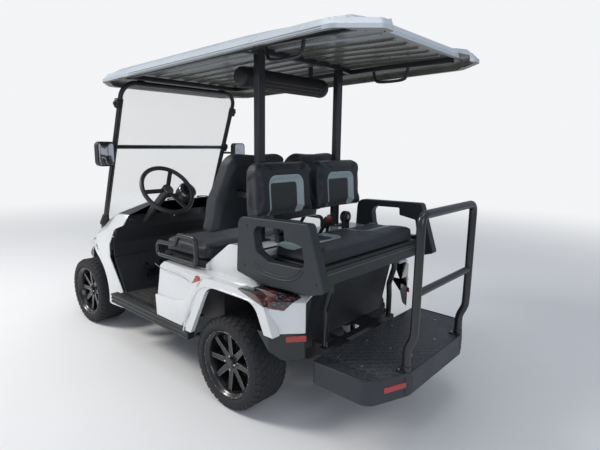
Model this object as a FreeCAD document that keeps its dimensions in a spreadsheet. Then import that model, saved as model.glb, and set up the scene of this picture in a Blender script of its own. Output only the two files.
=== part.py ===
"""Four-seat golf cart with a long roof, a fold-over rear seat and a rear step.

Millimetres. +X points forward, +Y to the driver's side (left), +Z up. The origin is on the
ground, midway along and across the cart.
"""
import FreeCAD, Part
import math
import os
import re
import Sketcher
from FreeCAD import Placement, Rotation, Vector

# Driving dimensions: name, millimetres (degrees for angles), what it is
SIZES = (
    ("rear_axle_x", -555, "rear axle line ahead of the middle of the cart"),
    ("wheelbase", 1643, "rear axle to front axle"),
    ("tyre_radius", 237.5, "outer radius of the 12 inch low profile tyre"),
    ("tyre_width", 215, "widest part of the tyre"),
    ("rear_track", 954, "between the middles of the rear tyres"),
    ("front_track", 884, "between the middles of the front tyres"),
    ("rim_radius", 175, "outer radius of the rim lip"),
    ("rim_width", 200, "across both rim lips"),
    ("rim_well", 148, "inner radius of the rim barrel"),
    ("rim_wall", 9, "thickness of the rim barrel"),
    ("rim_flange", 12, "thickness of the rim lip across the wheel"),
    ("bead_gap", 0.3, "between the tyre and the rim"),
    ("spoke_face", 62, "outer face of the spokes, out from the middle of the wheel"),
    ("spoke_depth", 20, "thickness of a spoke across the wheel"),
    ("spoke_root", 34, "width of a spoke at the hub"),
    ("spoke_tip", 22, "width of a spoke at the barrel"),
    ("spoke_count", 8, "spokes in one wheel"),
    ("hub_radius", 46, "radius of the hub disc"),
    ("hub_inside", 20, "inner face of the hub, out from the middle of the wheel"),
    ("cap_radius", 30, "radius of the hub cap"),
    ("cap_step", 6, "slope of the edges of the hub and its cap"),
    ("cap_height", 14, "hub cap beyond the spoke faces"),
    ("stub_radius", 16, "radius of the wheel stub shaft"),
    ("stub_reach", 54, "end of the stub shaft, out from the middle of the wheel"),
    ("running_gap", 0.05, "radial clearance of a shaft in its bore"),
    ("drum_radius", 92, "radius of a brake drum"),
    ("drum_inside", -58, "inner face of a brake drum from the middle of the wheel"),
    ("drum_outside", 4, "outer face of a brake drum from the middle of the wheel"),
    ("rail_inner", 150, "inner face of a frame rail from the middle plane"),
    ("rail_width", 40, "width of a frame rail"),
    ("rail_depth", 55, "height of a frame rail"),
    ("rail_low", 255, "underside of the rails between the axles"),
    ("rail_high", 315, "underside of the rails over the axles"),
    ("rail_rear", -805, "rear end of the rails from the rear axle"),
    ("rail_front", 258, "front end of the rails from the front axle"),
    ("kick_rear_start", 150, "rear kick-up, rear end from the rear axle"),
    ("kick_rear_end", 240, "rear kick-up, front end from the rear axle"),
    ("kick_front_start", -388, "front kick-up, rear end from the front axle"),
    ("kick_front_end", -308, "front kick-up, front end from the front axle"),
    ("outrigger_depth", 36, "height of an outrigger"),
    ("member_width", 40, "width of a cross member along the cart"),
    ("floor_skin", 20, "thickness of the floor"),
    ("floor_half_width", 552, "edge of the floor from the middle plane"),
    ("floor_back", -12, "rear edge of the floor"),
    ("toe_half_width", 494, "edge of the toe board from the middle plane"),
    ("toe_foot_x", 608, "foot of the toe board"),
    ("toe_head_x", 742, "head of the toe board"),
    ("toe_head_z", 552, "height of the head of the toe board"),
    ("toe_skin", 16, "thickness of the toe board along the cart"),
    ("sill_low", 286, "underside of the side sill"),
    ("sill_top", 345, "top of the side sill"),
    ("sill_outer", 598, "outer face of the side sill from the middle plane"),
    ("sill_back", -262, "rear end of the side sill"),
    ("sill_front", 600, "front end of the side sill"),
    ("sill_rib", 5, "depth of the grooves along the sill"),
    ("skin", 5, "thickness of the body mouldings"),
    ("kingpin_y", 360, "kingpin axis from the middle plane"),
    ("kingpin_radius", 9, "radius of the kingpin"),
    ("boss_radius", 21, "radius of the kingpin boss"),
    ("boss_half", 46, "half height of the kingpin boss"),
    ("ear_gap", 2, "between the boss and a knuckle ear"),
    ("ear_thick", 18, "thickness of a knuckle ear"),
    ("ear_radius", 24, "radius of a knuckle ear"),
    ("web_inside", 30, "inner face of the knuckle web from the kingpin"),
    ("web_thick", 16, "thickness of the knuckle web"),
    ("arm_length", 95, "steering arm behind the kingpin"),
    ("arm_inset", 50, "steering arm eye inboard of the kingpin"),
    ("arm_width", 26, "width of the steering arm"),
    ("rod_radius", 9, "radius of the tie rod"),
    ("rod_end_radius", 14, "radius of a tie rod end"),
    ("rod_drop", 26, "tie rod axis below the underside of the steering arms"),
    ("seat_gap", 0.3, "between a moving or soft piece and its seat"),
    ("beam_half", 20, "half height and half length of the front beam"),
    ("leaf_width", 40, "width of a leaf spring"),
    ("leaf_thick", 20, "thickness of a leaf spring pack"),
    ("leaf_rise", 20, "rise of the leaf spring ends"),
    ("front_leaf_half", 235, "half length of a front leaf spring"),
    ("rear_leaf_half", 225, "half length of a rear leaf spring"),
    ("rear_leaf_inner", 205, "inner face of a rear leaf spring"),
    ("hanger_length", 30, "length of a spring hanger along the cart"),
    ("axle_radius", 30, "radius of the rear axle tube"),
    ("gear_radius", 70, "radius of the rear gear housing"),
    ("gear_half", 70, "half width of the rear gear housing"),
    ("motor_radius", 78, "radius of the drive motor"),
    ("motor_behind", 140, "motor axis behind the rear axle"),
    ("motor_half", 130, "half length of the drive motor"),
    ("battery_back", -272, "rear face of the battery pack"),
    ("battery_front", -22, "front face of the battery pack"),
    ("battery_half", 350, "half width of the battery pack"),
    ("battery_height", 275, "height of the battery pack"),
    ("roof_under", 1703.7, "underside of the roof above the origin"),
    ("roof_tilt", 1.79, "roof rises towards the rear by this angle"),
    ("roof_rim", 16, "upright part of the roof edge"),
    ("roof_thick", 46, "roof edge to roof top"),
    ("roof_draft", 26, "roof top inset from the roof edge"),
    ("roof_recess", 26, "depth of the recess under the roof"),
    ("roof_lip", 22, "width of the roof edge seen from below"),
    ("roof_rib_width", 16, "width of a rib under the roof"),
    ("roof_rib_depth", 8, "depth of a rib under the roof"),
    ("rail_tube", 28, "side of the square tube under the roof"),
    ("rib_pitch", 110, "between the ribs under the roof, the rails on the fourth"),
    ("roof_rail_front", 545, "front end of the roof rails"),
    ("roof_rail_back", -1120, "rear end of the roof rails"),
    ("grip_drop", 46, "roof grip below its rail"),
    ("grip_radius", 9, "radius of the roof grip"),
    ("post_y", 320, "rear roof post from the middle plane"),
    ("post_width", 48, "width of a rear roof post"),
    ("post_length", 36, "rear roof post along the cart"),
    ("post_x", -535, "rear roof post"),
    ("post_foot_half", 42, "half side of the foot plate of a roof post"),
    ("post_foot_thick", 8, "thickness of the foot plate of a roof post"),
    ("bar_radius", 54, "radius of the overhead bar"),
    ("bar_x", -405, "overhead bar"),
    ("bar_z", 1668, "overhead bar axis"),
    ("bar_half", 345, "half length of the overhead bar"),
    ("bar_cap", 20, "rounding of the ends of the overhead bar"),
    ("shield_foot_x", 925, "foot of the windshield frame"),
    ("shield_foot_z", 752, "height of the foot of the windshield frame"),
    ("shield_tilt", 20.8, "windshield frame leans back by this angle"),
    ("shield_half", 458, "windshield post axis from the middle plane"),
    ("shield_height", 970, "windshield frame along its slope"),
    ("shield_bend", 95, "bend radius of the windshield frame"),
    ("shield_tube", 15, "radius of the windshield tube"),
    ("glass_thick", 5, "thickness of the windshield"),
    ("glass_low", 60, "lower edge of the windshield along its slope"),
    ("glass_split", 585, "joint of the two panes along the slope"),
    ("glass_gap", 0.3, "between the glass and its frame"),
    ("split_half", 9, "half height of the split bar"),
    ("wheel_x", 372, "steering wheel centre"),
    ("wheel_y", 285, "steering wheel centre from the middle plane"),
    ("wheel_z", 1028, "steering wheel centre height"),
    ("column_tilt", 52, "steering column leans forward from upright by this angle"),
    ("wheel_radius", 172, "radius of the steering wheel ring"),
    ("wheel_rope", 14, "radius of the steering wheel rim"),
    ("column_radius", 26, "radius of the steering column cover"),
    ("column_length", 420, "length of the steering column cover"),
    ("pod_radius", 62, "radius of the gauge pod"),
    ("pod_y", 118, "gauge pod from the middle plane"),
    ("dash_half_width", 436, "edge of the dashboard from the middle plane"),
    ("seat_half_width", 495, "edge of the front seat base"),
    ("seat_base_z", 668, "underside of the front seat base"),
    ("seat_base_top", 700, "top of the front seat base"),
    ("seat_base_back", -289.7, "rear edge of the front seat base"),
    ("seat_base_front", 112, "front edge of the front seat base"),
    ("cushion_half_width", 476, "edge of the front cushion"),
    ("cushion_back", -286, "rear edge of the front cushion"),
    ("cushion_front", 150, "front edge of the front cushion"),
    ("cushion_top", 778, "top of the front cushion"),
    ("front_back_inner", 22, "inner side of a front seat back"),
    ("front_back_outer", 452, "outer side of a front seat back"),
    ("front_back_round", 70, "corner radius of a front seat back"),
    ("hub_drop", 30, "underside of the steering wheel hub below the ring"),
    ("hub_size", 38, "radius of the steering wheel hub"),
    ("grip_front", -696, "front end of a roof grip"),
    ("grip_back", -909, "rear end of a roof grip"),
    ("mirror_x", 655, "mirror head"),
    ("mirror_y", 556, "mirror head from the middle plane"),
    ("mirror_z", 1255, "height of the mirror head"),
    ("restraint_y", 532, "hip restraint tube from the middle plane"),
    ("restraint_tube", 13, "radius of the hip restraint tube"),
    ("rear_back_inner", 18, "inner side of a rear seat back"),
    ("rear_back_outer", 444, "outer side of a rear seat back"),
    ("rear_back_round", 60, "corner radius of a rear seat back"),
    ("tray_z", 714, "underside of the rear seat tray"),
    ("tray_top", 788, "top of the rear seat tray"),
    ("tray_half_width", 473.7, "edge of the rear seat tray"),
    ("tray_front", -690, "front edge of the rear seat tray"),
    ("tray_wall", 14, "wall of the rear seat tray"),
    ("flip_x", -1052, "fold-over axis of the rear seat"),
    ("flip_room", 6, "cushion and board ahead of the fold-over axis"),
    ("board_depth", 333, "rear seat board along the cart"),
    ("board_half_width", 436, "edge of the rear seat board"),
    ("board_thick", 15, "thickness of the rear seat board"),
    ("rear_cushion_half_width", 424, "edge of the rear cushion"),
    ("rear_cushion_thick", 72, "thickness of the rear cushion"),
    ("armrest_inner", 474, "inner face of a rear armrest"),
    ("armrest_outer", 524, "outer face of a rear armrest"),
    ("step_top", 385, "top of the footplate"),
    ("step_drop", 104, "height of the footplate skirt"),
    ("step_front", -1032, "front edge of the footplate"),
    ("step_back", -1408, "rear edge of the footplate"),
    ("step_half_width", 474, "edge of the footplate"),
    ("step_chamfer_x", 80, "cut corner of the footplate along the cart"),
    ("step_chamfer_y", 205, "cut corner of the footplate across the cart"),
    ("step_skin", 15, "thickness of the footplate deck, its underside on the rails"),
    ("step_skirt", 7, "thickness of the footplate skirt"),
    ("bar_foot_x", -1385, "foot of the grab bar"),
    ("bar_upright_x", -1413, "upright of the grab bar"),
    ("bar_y", 270, "grab bar upright from the middle plane"),
    ("bar_top_z", 1062, "top tube of the grab bar"),
    ("bar_mid_z", 735, "cross tube of the grab bar"),
    ("bar_kink_low", 470, "lower kink of the grab bar"),
    ("bar_kink_high", 560, "upper kink of the grab bar"),
    ("grab_tube", 16, "radius of the grab bar tube"),
    ("grab_bend", 62, "bend radius of the grab bar"),
    ("brace_tube", 15, "radius of the tubes under the rear seat"),
    ("brace_y", 292, "tube under the rear seat from the middle plane"),
    ("enclosure_half_width", 350, "edge of the panel under the rear seat"),
    ("notch_half_width", 354, "gap in the rear of the body for that panel"),
    ("past", 700, "half width of a cutting block, past every outer face"),
    ("nick", 5, "how far a cut starts before the face it opens"),
    ("toe_step", 10, "depth of the foot of the toe board"),
    ("hatch_gap", 12, "opening in the deck round the battery pack"),
    ("hatch_depth", 60, "height of the cut for that opening"),
    ("notch_gap", 8, "front edge of the rear gap behind the tray front"),
    ("flare_inner", 565, "inner side of the flare from the middle plane"),
    ("lamp_inner", 430, "inner end of a tail lamp from the middle plane"),
    ("bumper_skin", 8, "thickness of the rear bumper corners"),
    ("bumper_low", 360, "lowest point of the rear bumper section"),
    ("bumper_front_low", 368, "lower front corner of the rear bumper"),
    ("bumper_back_low", 382, "lower rear corner of the rear bumper"),
    ("bumper_sweep", 90, "lower edge of the rear bumper drawn back from the arch"),
    ("dash_gap_front", -310, "front edge of the opening for the dashboard"),
    ("cowl_back", -480, "rear edge of the cowl from the front axle"),
    ("head_lamp_radius", 46, "radius of a headlamp"),
    ("head_lamp_x", 289, "rear of a headlamp from the front axle"),
    ("head_lamp_depth", 52, "length of a headlamp"),
    ("head_lamp_y", 225, "headlamp from the middle plane"),
    ("head_lamp_z", 455, "height of a headlamp"),
    ("nose_wide", 330, "half width of the front bumper"),
    ("nose_flat", 250, "half width of the flat of the front bumper"),
    ("nose_side", 303, "corner of the front bumper from the front axle"),
    ("nose_face", 339, "face of the front bumper from the front axle"),
    ("nose_drop", 60, "front bumper below the rails over the axles"),
    ("nose_rise", 14, "front bumper above the underside of those rails"),
    ("foot_half_x", 16, "half length of a windshield foot"),
    ("foot_half_y", 19, "half width of a windshield foot"),
    ("foot_height", 16, "windshield foot above the cowl"),
    ("foot_root", 70, "windshield foot before it is cut to the cowl"),
    ("hanger_half_x", 12, "half length of a hanger under the roof"),
    ("hanger_half_y", 20, "half width of a windshield hanger"),
    ("hanger_drop", 30, "windshield hanger below the roof edge"),
    ("pane_round", 4, "corner radius of a pane"),
    ("rib_before", 40, "ribs under the roof past the rear ends of the rails"),
    ("rib_after", 60, "ribs under the roof past the front ends of the rails"),
    ("grip_slope", 40, "length of the sloping end of a roof grip"),
    ("grip_bend", 22, "bend radius of a roof grip"),
    ("grip_bite", 6, "depth to which a bar end runs into its tube"),
    ("post_root", 60, "roof post before it is cut to the body"),
    ("pod_arm", 12, "half width of the arm of the gauge pod"),
    ("pod_back", 84, "underside of the gauge pod below the steering wheel"),
    ("pod_face", 24, "face of the gauge pod below the steering wheel"),
    ("pod_arm_low", 84, "underside of the pod arm below the steering wheel"),
    ("pod_arm_high", 70, "top of the pod arm below the steering wheel"),
    ("hub_rise", 6, "top of the steering wheel hub above the ring"),
    ("spoke_half", 13, "half width of a steering wheel spoke"),
    ("spoke_low", 12, "underside of a steering wheel spoke below the ring"),
    ("spoke_plate", 10, "thickness of a steering wheel spoke"),
    ("spoke_bite", 8, "spoke root inside the hub"),
    ("pedal_brake_y", 285, "brake pedal from the middle plane"),
    ("pedal_run_y", 165, "accelerator from the middle plane"),
    ("pedal_half", 34, "half width of a pedal pad"),
    ("pedal_arm_half", 8, "half width of a pedal arm"),
    ("spring_sink", 4, "leaf spring let into the axle tube"),
    ("leaf_seat", 30, "half length of the flat of a leaf spring"),
    ("rear_hanger_top", 345, "top of a rear spring hanger"),
    ("bead_step", 1, "tyre bead below its side"),
    ("shoulder_drop", 14, "tyre shoulder below the tread"),
    ("shoulder_wide", 5, "tyre shoulder inside the widest part"),
    ("tread_in", 22, "edge of the tread inside the widest part"),
    ("side_rise", 22, "widest part of the tyre outside the rim"),
    ("flange_drop", 7, "depth of the step in the rim lip"),
    ("seat_base_round", 30, "corner radius of the front seat base"),
    ("hatch_side", 6, "opening in the front seat base round the battery pack"),
    ("cushion_round", 50, "corner radius of the front cushion"),
    ("back_foot_round", 20, "lower corner radius of a seat back"),
    ("restraint_bend", 26, "bend radius of a hip restraint"),
    ("restraint_foot", 60, "foot of a hip restraint inside its end"),
    ("restraint_foot_half", 18, "half length of that foot"),
    ("restraint_foot_thick", 9, "half height of that foot"),
    ("tray_floor", 8, "thickness of the tray floor"),
    ("tray_foot_back", -880, "rear end of a foot under the tray"),
    ("tray_foot_front", -700, "front end of a foot under the tray"),
    ("tray_foot_inner", 376, "inner side of a foot under the tray"),
    ("tray_foot_outer", 430, "outer side of a foot under the tray"),
    ("tray_round", 10, "corner radius inside the tray"),
    ("board_round", 24, "corner radius of the rear seat board"),
    ("rear_cushion_round", 40, "corner radius of the rear cushion"),
    ("rear_cushion_back", 6, "rear cushion inside the rear edge of its board"),
    ("rear_cushion_front", 10, "rear cushion inside the front edge of its board"),
    ("back_arm_half", 20, "half width of a front back bracket"),
    ("back_arm_low", 1052, "underside of a front back bracket"),
    ("back_arm_high", 1084, "top of a front back bracket"),
    ("back_plate_low", 1040, "lower edge of a rear back bracket"),
    ("back_plate_high", 1140, "upper edge of a rear back bracket"),
    ("back_plate_in", 40, "rear back bracket inside the sides of the back"),
    ("brace_back", 64, "tube under the rear seat ahead of the fold-over axis"),
    ("brace_drop", 62, "upright start of that tube below the tray"),
    ("brace_knee", 160, "knee of that tube below the tray"),
    ("brace_bend", 45, "bend radius of that tube"),
    ("enclosure_top_x", 109, "top of the sloping panel ahead of the fold-over axis"),
    ("enclosure_foot_x", 179, "foot of the sloping panel ahead of the fold-over axis"),
    ("enclosure_front", 10, "front edge of its sides behind the tray front"),
    ("enclosure_skin", 6, "thickness of the panel under the rear seat"),
    ("step_round_seat", 22, "corner radius of the footplate at the seat"),
    ("step_round_front", 70, "corner radius of the cut corner at the side"),
    ("step_round_back", 60, "corner radius of the cut corner at the rear"),
    ("mirror_half_y", 55, "half width of a mirror"),
    ("mirror_half_z", 78, "half height of a mirror"),
    ("mirror_round", 28, "corner radius of a mirror"),
    ("mirror_back", 26, "mirror behind its middle"),
    ("mirror_front", 20, "mirror ahead of its middle"),
    ("mirror_arm", 8, "radius of a mirror arm"),
    ("mirror_reach", 30, "mirror arm inside the middle of the mirror"),
    ("lamp_proud", 6, "tail lamp beyond the body"),
    ("tail_low", 500, "lower edge of the white tail"),
    ("body_low", 346, "lower edge of the side panel, on the sill"),
    ("flare_width", 42, "width of the flare round the rear arch"),
    ("flare_face", 610, "outer face of the flare from the middle plane"),
    ("haunch_half_width", 486, "edge of the hump between the seats"),
    ("front_arch_radius", 300, "radius of the front wheel arch"),
    ("front_arch_z", 268, "height of the middle of the front wheel arch"),
)

# Tables: columns, then one row for each section, corner or piece
TABLES = {
    "rear_section": (
        ("at", "half", "belt", "inset", "deck"),
        (
            (605, 583, 650, 24, 668),
            (255, 590, 650, 30, 668),
            (0, 598, 654, 40, 668),
            (-320, 590, 648, 62, 668),
            (-430, 470, 642, 40, 668),
        ),
    ),
    "cowl_section": (
        ("at", "half", "belt", "inset", "deck", "crown_half", "crown", "low"),
        (
            (-490, 505, 752, 60, 850, 230, 925, 214),
            (-330, 520, 745, 70, 842, 220, 905, 214),
            (-160, 512, 690, 70, 765, 220, 815, 240),
            (0, 452, 640, 90, 712, 190, 745, 330),
            (230, 400, 560, 110, 632, 150, 650, 330),
            (335, 318, 450, 60, 512, 120, 520, 330),
        ),
    ),
    "door_edge": (
        ("ahead", "up", "round"),
        (
            (-520, 1000, 0),
            (-484, 786, 14),
            (-412, 757, 60),
            (-340, 640, 40),
            (-338, 550, 40),
            (-472, 332, 12),
            (-462, 150, 0),
            (-800, 150, 0),
            (-800, 1000, 0),
        ),
    ),
    "rear_arch": (
        ("ahead", "up", "round"),
        (
            (324, 200, 0),
            (92, 634, 95),
            (-245, 634, 90),
            (-456, 200, 0),
        ),
    ),
    "side_front": (
        ("along", "up", "round"),
        (
            (-5, 700, 0),
            (4, 640, 60),
            (40, 480, 60),
            (46, 300, 0),
            (160, 300, 0),
            (160, 700, 0),
        ),
    ),
    "haunch": (
        ("ahead", "up", "round"),
        (
            (265, 640, 0),
            (265, 690, 30),
            (66, 836, 60),
            (-128, 836, 30),
            (-134, 640, 0),
        ),
    ),
    "front_back": (
        ("along", "up", "round"),
        (
            (-194, 842, 26),
            (-226, 1035, 160),
            (-392, 1288, 44),
            (-486, 1288, 30),
            (-340, 1040, 160),
            (-296, 842, 26),
        ),
    ),
    "rear_back": (
        ("along", "up", "round"),
        (
            (-562, 965, 18),
            (-562, 1252, 30),
            (-628, 1252, 34),
            (-652, 965, 26),
        ),
    ),
    "armrest": (
        ("along", "up", "round"),
        (
            (-600, 995, 46),
            (-1040, 1008, 22),
            (-1132, 728, 14),
            (-1060, 706, 12),
            (-755, 690, 60),
            (-586, 722, 14),
        ),
    ),
    "armrest_window": (
        ("along", "up", "round"),
        (
            (-702, 962, 40),
            (-898, 968, 10),
            (-901, 925, 10),
            (-1006, 908, 12),
            (-1024, 814, 26),
            (-807, 806, 30),
            (-723, 844, 40),
        ),
    ),
    "restraint": (
        ("along", "up"),
        (
            (104, 690),
            (104, 764),
            (-70, 770),
            (-110, 832),
            (-268, 832),
            (-268, 690),
        ),
    ),
    "roof_edge": (
        ("along", "out", "round"),
        (
            (722, 470, 60),
            (560, 590, 90),
            (-1178, 590, 70),
            (-1322, 452, 40),
            (-1322, 388, 22),
            (-1258, 348, 22),
        ),
    ),
    "dash_panel": (
        ("ahead", "up", "round"),
        (
            (-360, 552, 0),
            (-352, 646, 30),
            (-412, 745, 30),
            (-470, 950, 0),
            (-454, 950, 0),
            (-396, 741, 30),
            (-336, 650, 30),
            (-344, 552, 0),
        ),
    ),
    "tail_lamp": (
        ("ahead", "up", "round"),
        (
            (-170, 640, 6),
            (-330, 662, 20),
            (-440, 664, 0),
            (-440, 592, 0),
            (-330, 560, 30),
            (-262, 616, 40),
        ),
    ),
    "cross_member": (
        ("ahead", "low", "reach"),
        (
            (-410, 315, 320),
            (266, 255, 550),
            (560, 255, 550),
            (1120, 255, 550),
            (1873, 315, 150),
        ),
    ),
    "pedal": (
        ("back", "up", "round"),
        (
            (-18, 132, 0),
            (-6, 140, 0),
            (36, 60, 0),
            (24, 52, 0),
        ),
    ),
    "pedal_arm": (
        ("back", "up", "round"),
        (
            (-6, 124, 0),
            (90, 160, 0),
            (90, 146, 0),
            (2, 108, 0),
        ),
    ),
}

# Lines that follow from the driving dimensions
LINES = {
    "front_axle_x": "(rear_axle_x + wheelbase)",
    "floor_low": "(rail_low + rail_depth)",
    "floor_top": "(rail_low + rail_depth + floor_skin)",
    "rail_outer": "(rail_inner + rail_width)",
    "arm_under": "(tyre_radius - boss_half - ear_gap - ear_thick)",
    "flip_z": "(tray_top + seat_gap + board_thick)",
}

DOC = FreeCAD.newDocument("golf_cart")
SHEET = DOC.addObject("Spreadsheet::Sheet", "Sizes")
NODES = []
PLANES = {
    "XY": Rotation(),
    "XZ": Rotation(Vector(1, 0, 0), 90),
    "YZ": Rotation(Vector(1, 1, 1), 120),
}


def fill_sheet():
    """Write every driving dimension and table value to the sheet, each with its name."""
    entries = [(name, value, note) for name, value, note in SIZES]
    for table, (columns, rows) in TABLES.items():
        for row, values in enumerate(rows, 1):
            for column, value in zip(columns, values):
                entries.append((f"{table}_{column}_{row}", value, f"{table}, {column}"))
    for line, (name, value, note) in enumerate(entries, 1):
        SHEET.set(f"A{line}", note)
        SHEET.set(f"B{line}", str(value))
        SHEET.setAlias(f"B{line}", name)
    DOC.recompute()
    return {name for name, _, _ in entries}


NAMES = fill_sheet()


def expand(text):
    """The expression with the lines that follow from other sizes written out."""
    text = str(text)
    for name, meaning in LINES.items():
        text = re.sub(rf"\b{name}\b", meaning, text)
    return text


def tied(text):
    """The expression as an object outside the sheet has to write it."""
    found = expand(text)
    return re.sub(r"\b[a-z][a-z_0-9]*\b", lambda word: f"Sizes.{word.group()}"
                  if word.group() in NAMES else word.group(), found)


def number(text):
    """The value of an expression in the names of the sheet."""
    return float(SHEET.evalExpression(expand(text)))


def bind(thing, **settings):
    """Tie properties of an object to expressions; a double underscore stands for a dot."""
    for name, text in settings.items():
        thing.setExpression(name.replace("__", "."), tied(text))


def place(thing, x="0", y="0", z="0"):
    """Tie the position of an object to three expressions."""
    for axis, text in (("x", x), ("y", y), ("z", z)):
        thing.setExpression(f".Placement.Base.{axis}", tied(text))
    return thing


def keep(thing, label):
    """Name the finished sub-part and put it on the list of nodes."""
    thing.Label = label
    NODES.append(thing)
    return thing


def table_rows(table):
    """The names of the values in each row of a table, as dictionaries by column."""
    columns, rows = TABLES[table]
    return [{column: f"{table}_{column}_{row}" for column in columns}
            for row in range(1, len(rows) + 1)]


def outline(table, datum="0"):
    """Corners of a table as (across, up, rounding) expressions."""
    columns = TABLES[table][0]
    return [(f"{datum} + {row[columns[0]]}", row[columns[1]], row[columns[2]])
            for row in table_rows(table)]


def corner_cut(before, corner, after, radius):
    """Start, centre and end of the arc that rounds a corner."""
    to_before = Vector(before[0] - corner[0], before[1] - corner[1], 0).normalize()
    to_after = Vector(after[0] - corner[0], after[1] - corner[1], 0).normalize()
    half = to_before.getAngle(to_after) / 2
    reach = radius / math.tan(half)
    here = Vector(corner[0], corner[1], 0)
    inwards = (to_before + to_after).normalize()
    centre = here + inwards * (radius / math.sin(half))
    return here + to_before * reach, centre, here + to_after * reach


def rounding(start, centre, end):
    """The shorter arc between two points about a centre, drawn anticlockwise."""
    turn = (start - centre).cross(end - centre).z
    ends = (start, end) if turn > 0 else (end, start)
    angles = [math.atan2(spot.y - centre.y, spot.x - centre.x) for spot in ends]
    if angles[1] < angles[0]:
        angles[1] += 2 * math.pi
    circle = Part.Circle(centre, Vector(0, 0, 1), (start - centre).Length)
    return Part.ArcOfCircle(circle, angles[0], angles[1])


def draw(sketch, corners):
    """Closed outline of lines and arcs, its corners and radii tied to the sheet."""
    spots = [(number(u), number(v)) for u, v, _ in corners]
    radii = [number(radius) for _, _, radius in corners]
    cuts = []
    for i, spot in enumerate(spots):
        if radii[i] > 0:
            cuts.append(corner_cut(spots[i - 1], spot, spots[(i + 1) % len(spots)], radii[i]))
        else:
            here = Vector(spot[0], spot[1], 0)
            cuts.append((here, here, here))
    lines = []
    for i, cut in enumerate(cuts):
        following = cuts[(i + 1) % len(cuts)]
        lines.append(sketch.addGeometry(Part.LineSegment(cut[2], following[0]), False))
    for i, (u, v, radius) in enumerate(corners):
        mark = sketch.addGeometry(Part.Point(Vector(spots[i][0], spots[i][1], 0)), True)
        for kind, text, value in (("DistanceX", u, spots[i][0]), ("DistanceY", v, spots[i][1])):
            rule = sketch.addConstraint(Sketcher.Constraint(kind, -1, 1, mark, 1, value))
            sketch.setExpression(f"Constraints[{rule}]", tied(text))
        arriving, leaving = lines[i - 1], lines[i]
        if radii[i] <= 0:
            sketch.addConstraint(Sketcher.Constraint("Coincident", arriving, 2, mark, 1))
            sketch.addConstraint(Sketcher.Constraint("Coincident", leaving, 1, mark, 1))
            continue
        arc = sketch.addGeometry(rounding(*cuts[i]), False)
        first = 1 if (sketch.Geometry[arc].StartPoint - cuts[i][0]).Length < 1e-4 else 2
        sketch.addConstraint(Sketcher.Constraint("PointOnObject", mark, 1, arriving))
        sketch.addConstraint(Sketcher.Constraint("PointOnObject", mark, 1, leaving))
        sketch.addConstraint(Sketcher.Constraint("Tangent", arriving, 2, arc, first))
        sketch.addConstraint(Sketcher.Constraint("Tangent", leaving, 1, arc, 3 - first))
        rule = sketch.addConstraint(Sketcher.Constraint("Radius", arc, radii[i]))
        sketch.setExpression(f"Constraints[{rule}]", tied(radius))
    return sketch


def draw_circle(sketch, u, v, radius):
    """A circle whose centre and radius are tied to the sheet."""
    centre = Vector(number(u), number(v), 0)
    ring = sketch.addGeometry(Part.Circle(centre, Vector(0, 0, 1), number(radius)), False)
    for kind, text, value in (("DistanceX", u, centre.x), ("DistanceY", v, centre.y)):
        rule = sketch.addConstraint(Sketcher.Constraint(kind, -1, 1, ring, 3, value))
        sketch.setExpression(f"Constraints[{rule}]", tied(text))
    rule = sketch.addConstraint(Sketcher.Constraint("Radius", ring, number(radius)))
    sketch.setExpression(f"Constraints[{rule}]", tied(radius))
    return sketch


def new_body(name):
    """An empty part design body."""
    return DOC.addObject("PartDesign::Body", name)


def body_sketch(body, plane, offset="0"):
    """A sketch on a plane of the body, moved along the plane's own axis."""
    sketch = body.newObject("Sketcher::SketchObject", f"{body.Name}_sketch")
    support = [item for item in body.Origin.OriginFeatures if item.Role == f"{plane}_Plane"][0]
    sketch.AttachmentSupport = [(support, "")]
    sketch.MapMode = "FlatFace"
    sketch.setExpression("AttachmentOffset.Base.z", tied(offset))
    return sketch


def extruded(body, kind, sketch, length, symmetric=False):
    """A pad or pocket of a sketch."""
    feature = body.newObject(f"PartDesign::{kind}", f"{body.Name}_{kind.lower()}")
    feature.Profile = sketch
    feature.setExpression("Length", tied(length))
    if symmetric:
        feature.SideType = "Symmetric"
    elif kind == "Pocket":
        feature.Reversed = True
    return feature


def block(body, corners, low, high, plane="XY", kind="Pad"):
    """Material added or cut between two levels of an outline; XZ levels are along +Y."""
    start = f"0 - ({high})" if plane == "XZ" else low
    sketch = draw(body_sketch(body, plane, start), corners)
    return extruded(body, kind, sketch, f"({high}) - ({low})")


def drum(body, plane, centre, radius, low, high, kind="Pad"):
    """A round pad or pocket between two levels; XZ levels are along +Y."""
    start = f"0 - ({high})" if plane == "XZ" else low
    sketch = draw_circle(body_sketch(body, plane, start), centre[0], centre[1], radius)
    return extruded(body, kind, sketch, f"({high}) - ({low})")


def rectangle(low_u, high_u, low_v, high_v, radius="0"):
    """Corners of a rectangle."""
    return [(low_u, low_v, radius), (high_u, low_v, radius),
            (high_u, high_v, radius), (low_u, high_v, radius)]


def turned(body, corners, kind="Revolution"):
    """Material turned about the body's Y axis from a (along Y, radius) outline."""
    sketch = draw(body_sketch(body, "YZ"), corners)
    feature = body.newObject(f"PartDesign::{kind}", f"{body.Name}_turned")
    feature.Profile = sketch
    feature.ReferenceAxis = (sketch, ["H_Axis"])
    feature.Angle = 360
    return feature


def free_sketch(name, plane, x="0", y="0", z="0"):
    """A sketch outside any body, on a plane through a tied point."""
    sketch = DOC.addObject("Sketcher::SketchObject", name)
    sketch.Placement = Placement(Vector(), PLANES[plane])
    return place(sketch, x, y, z)


def lofted(name, sketches):
    """A solid through a row of sketches."""
    solid = DOC.addObject("Part::Loft", name)
    solid.Sections = sketches
    solid.Solid = True
    solid.Ruled = True
    return solid


def mirrored(thing, name):
    """The other side's copy of a piece."""
    copy = DOC.addObject("Part::Mirroring", name)
    copy.Source = thing
    copy.Base = Vector(0, 0, 0)
    copy.Normal = Vector(0, 1, 0)
    return copy


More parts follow.
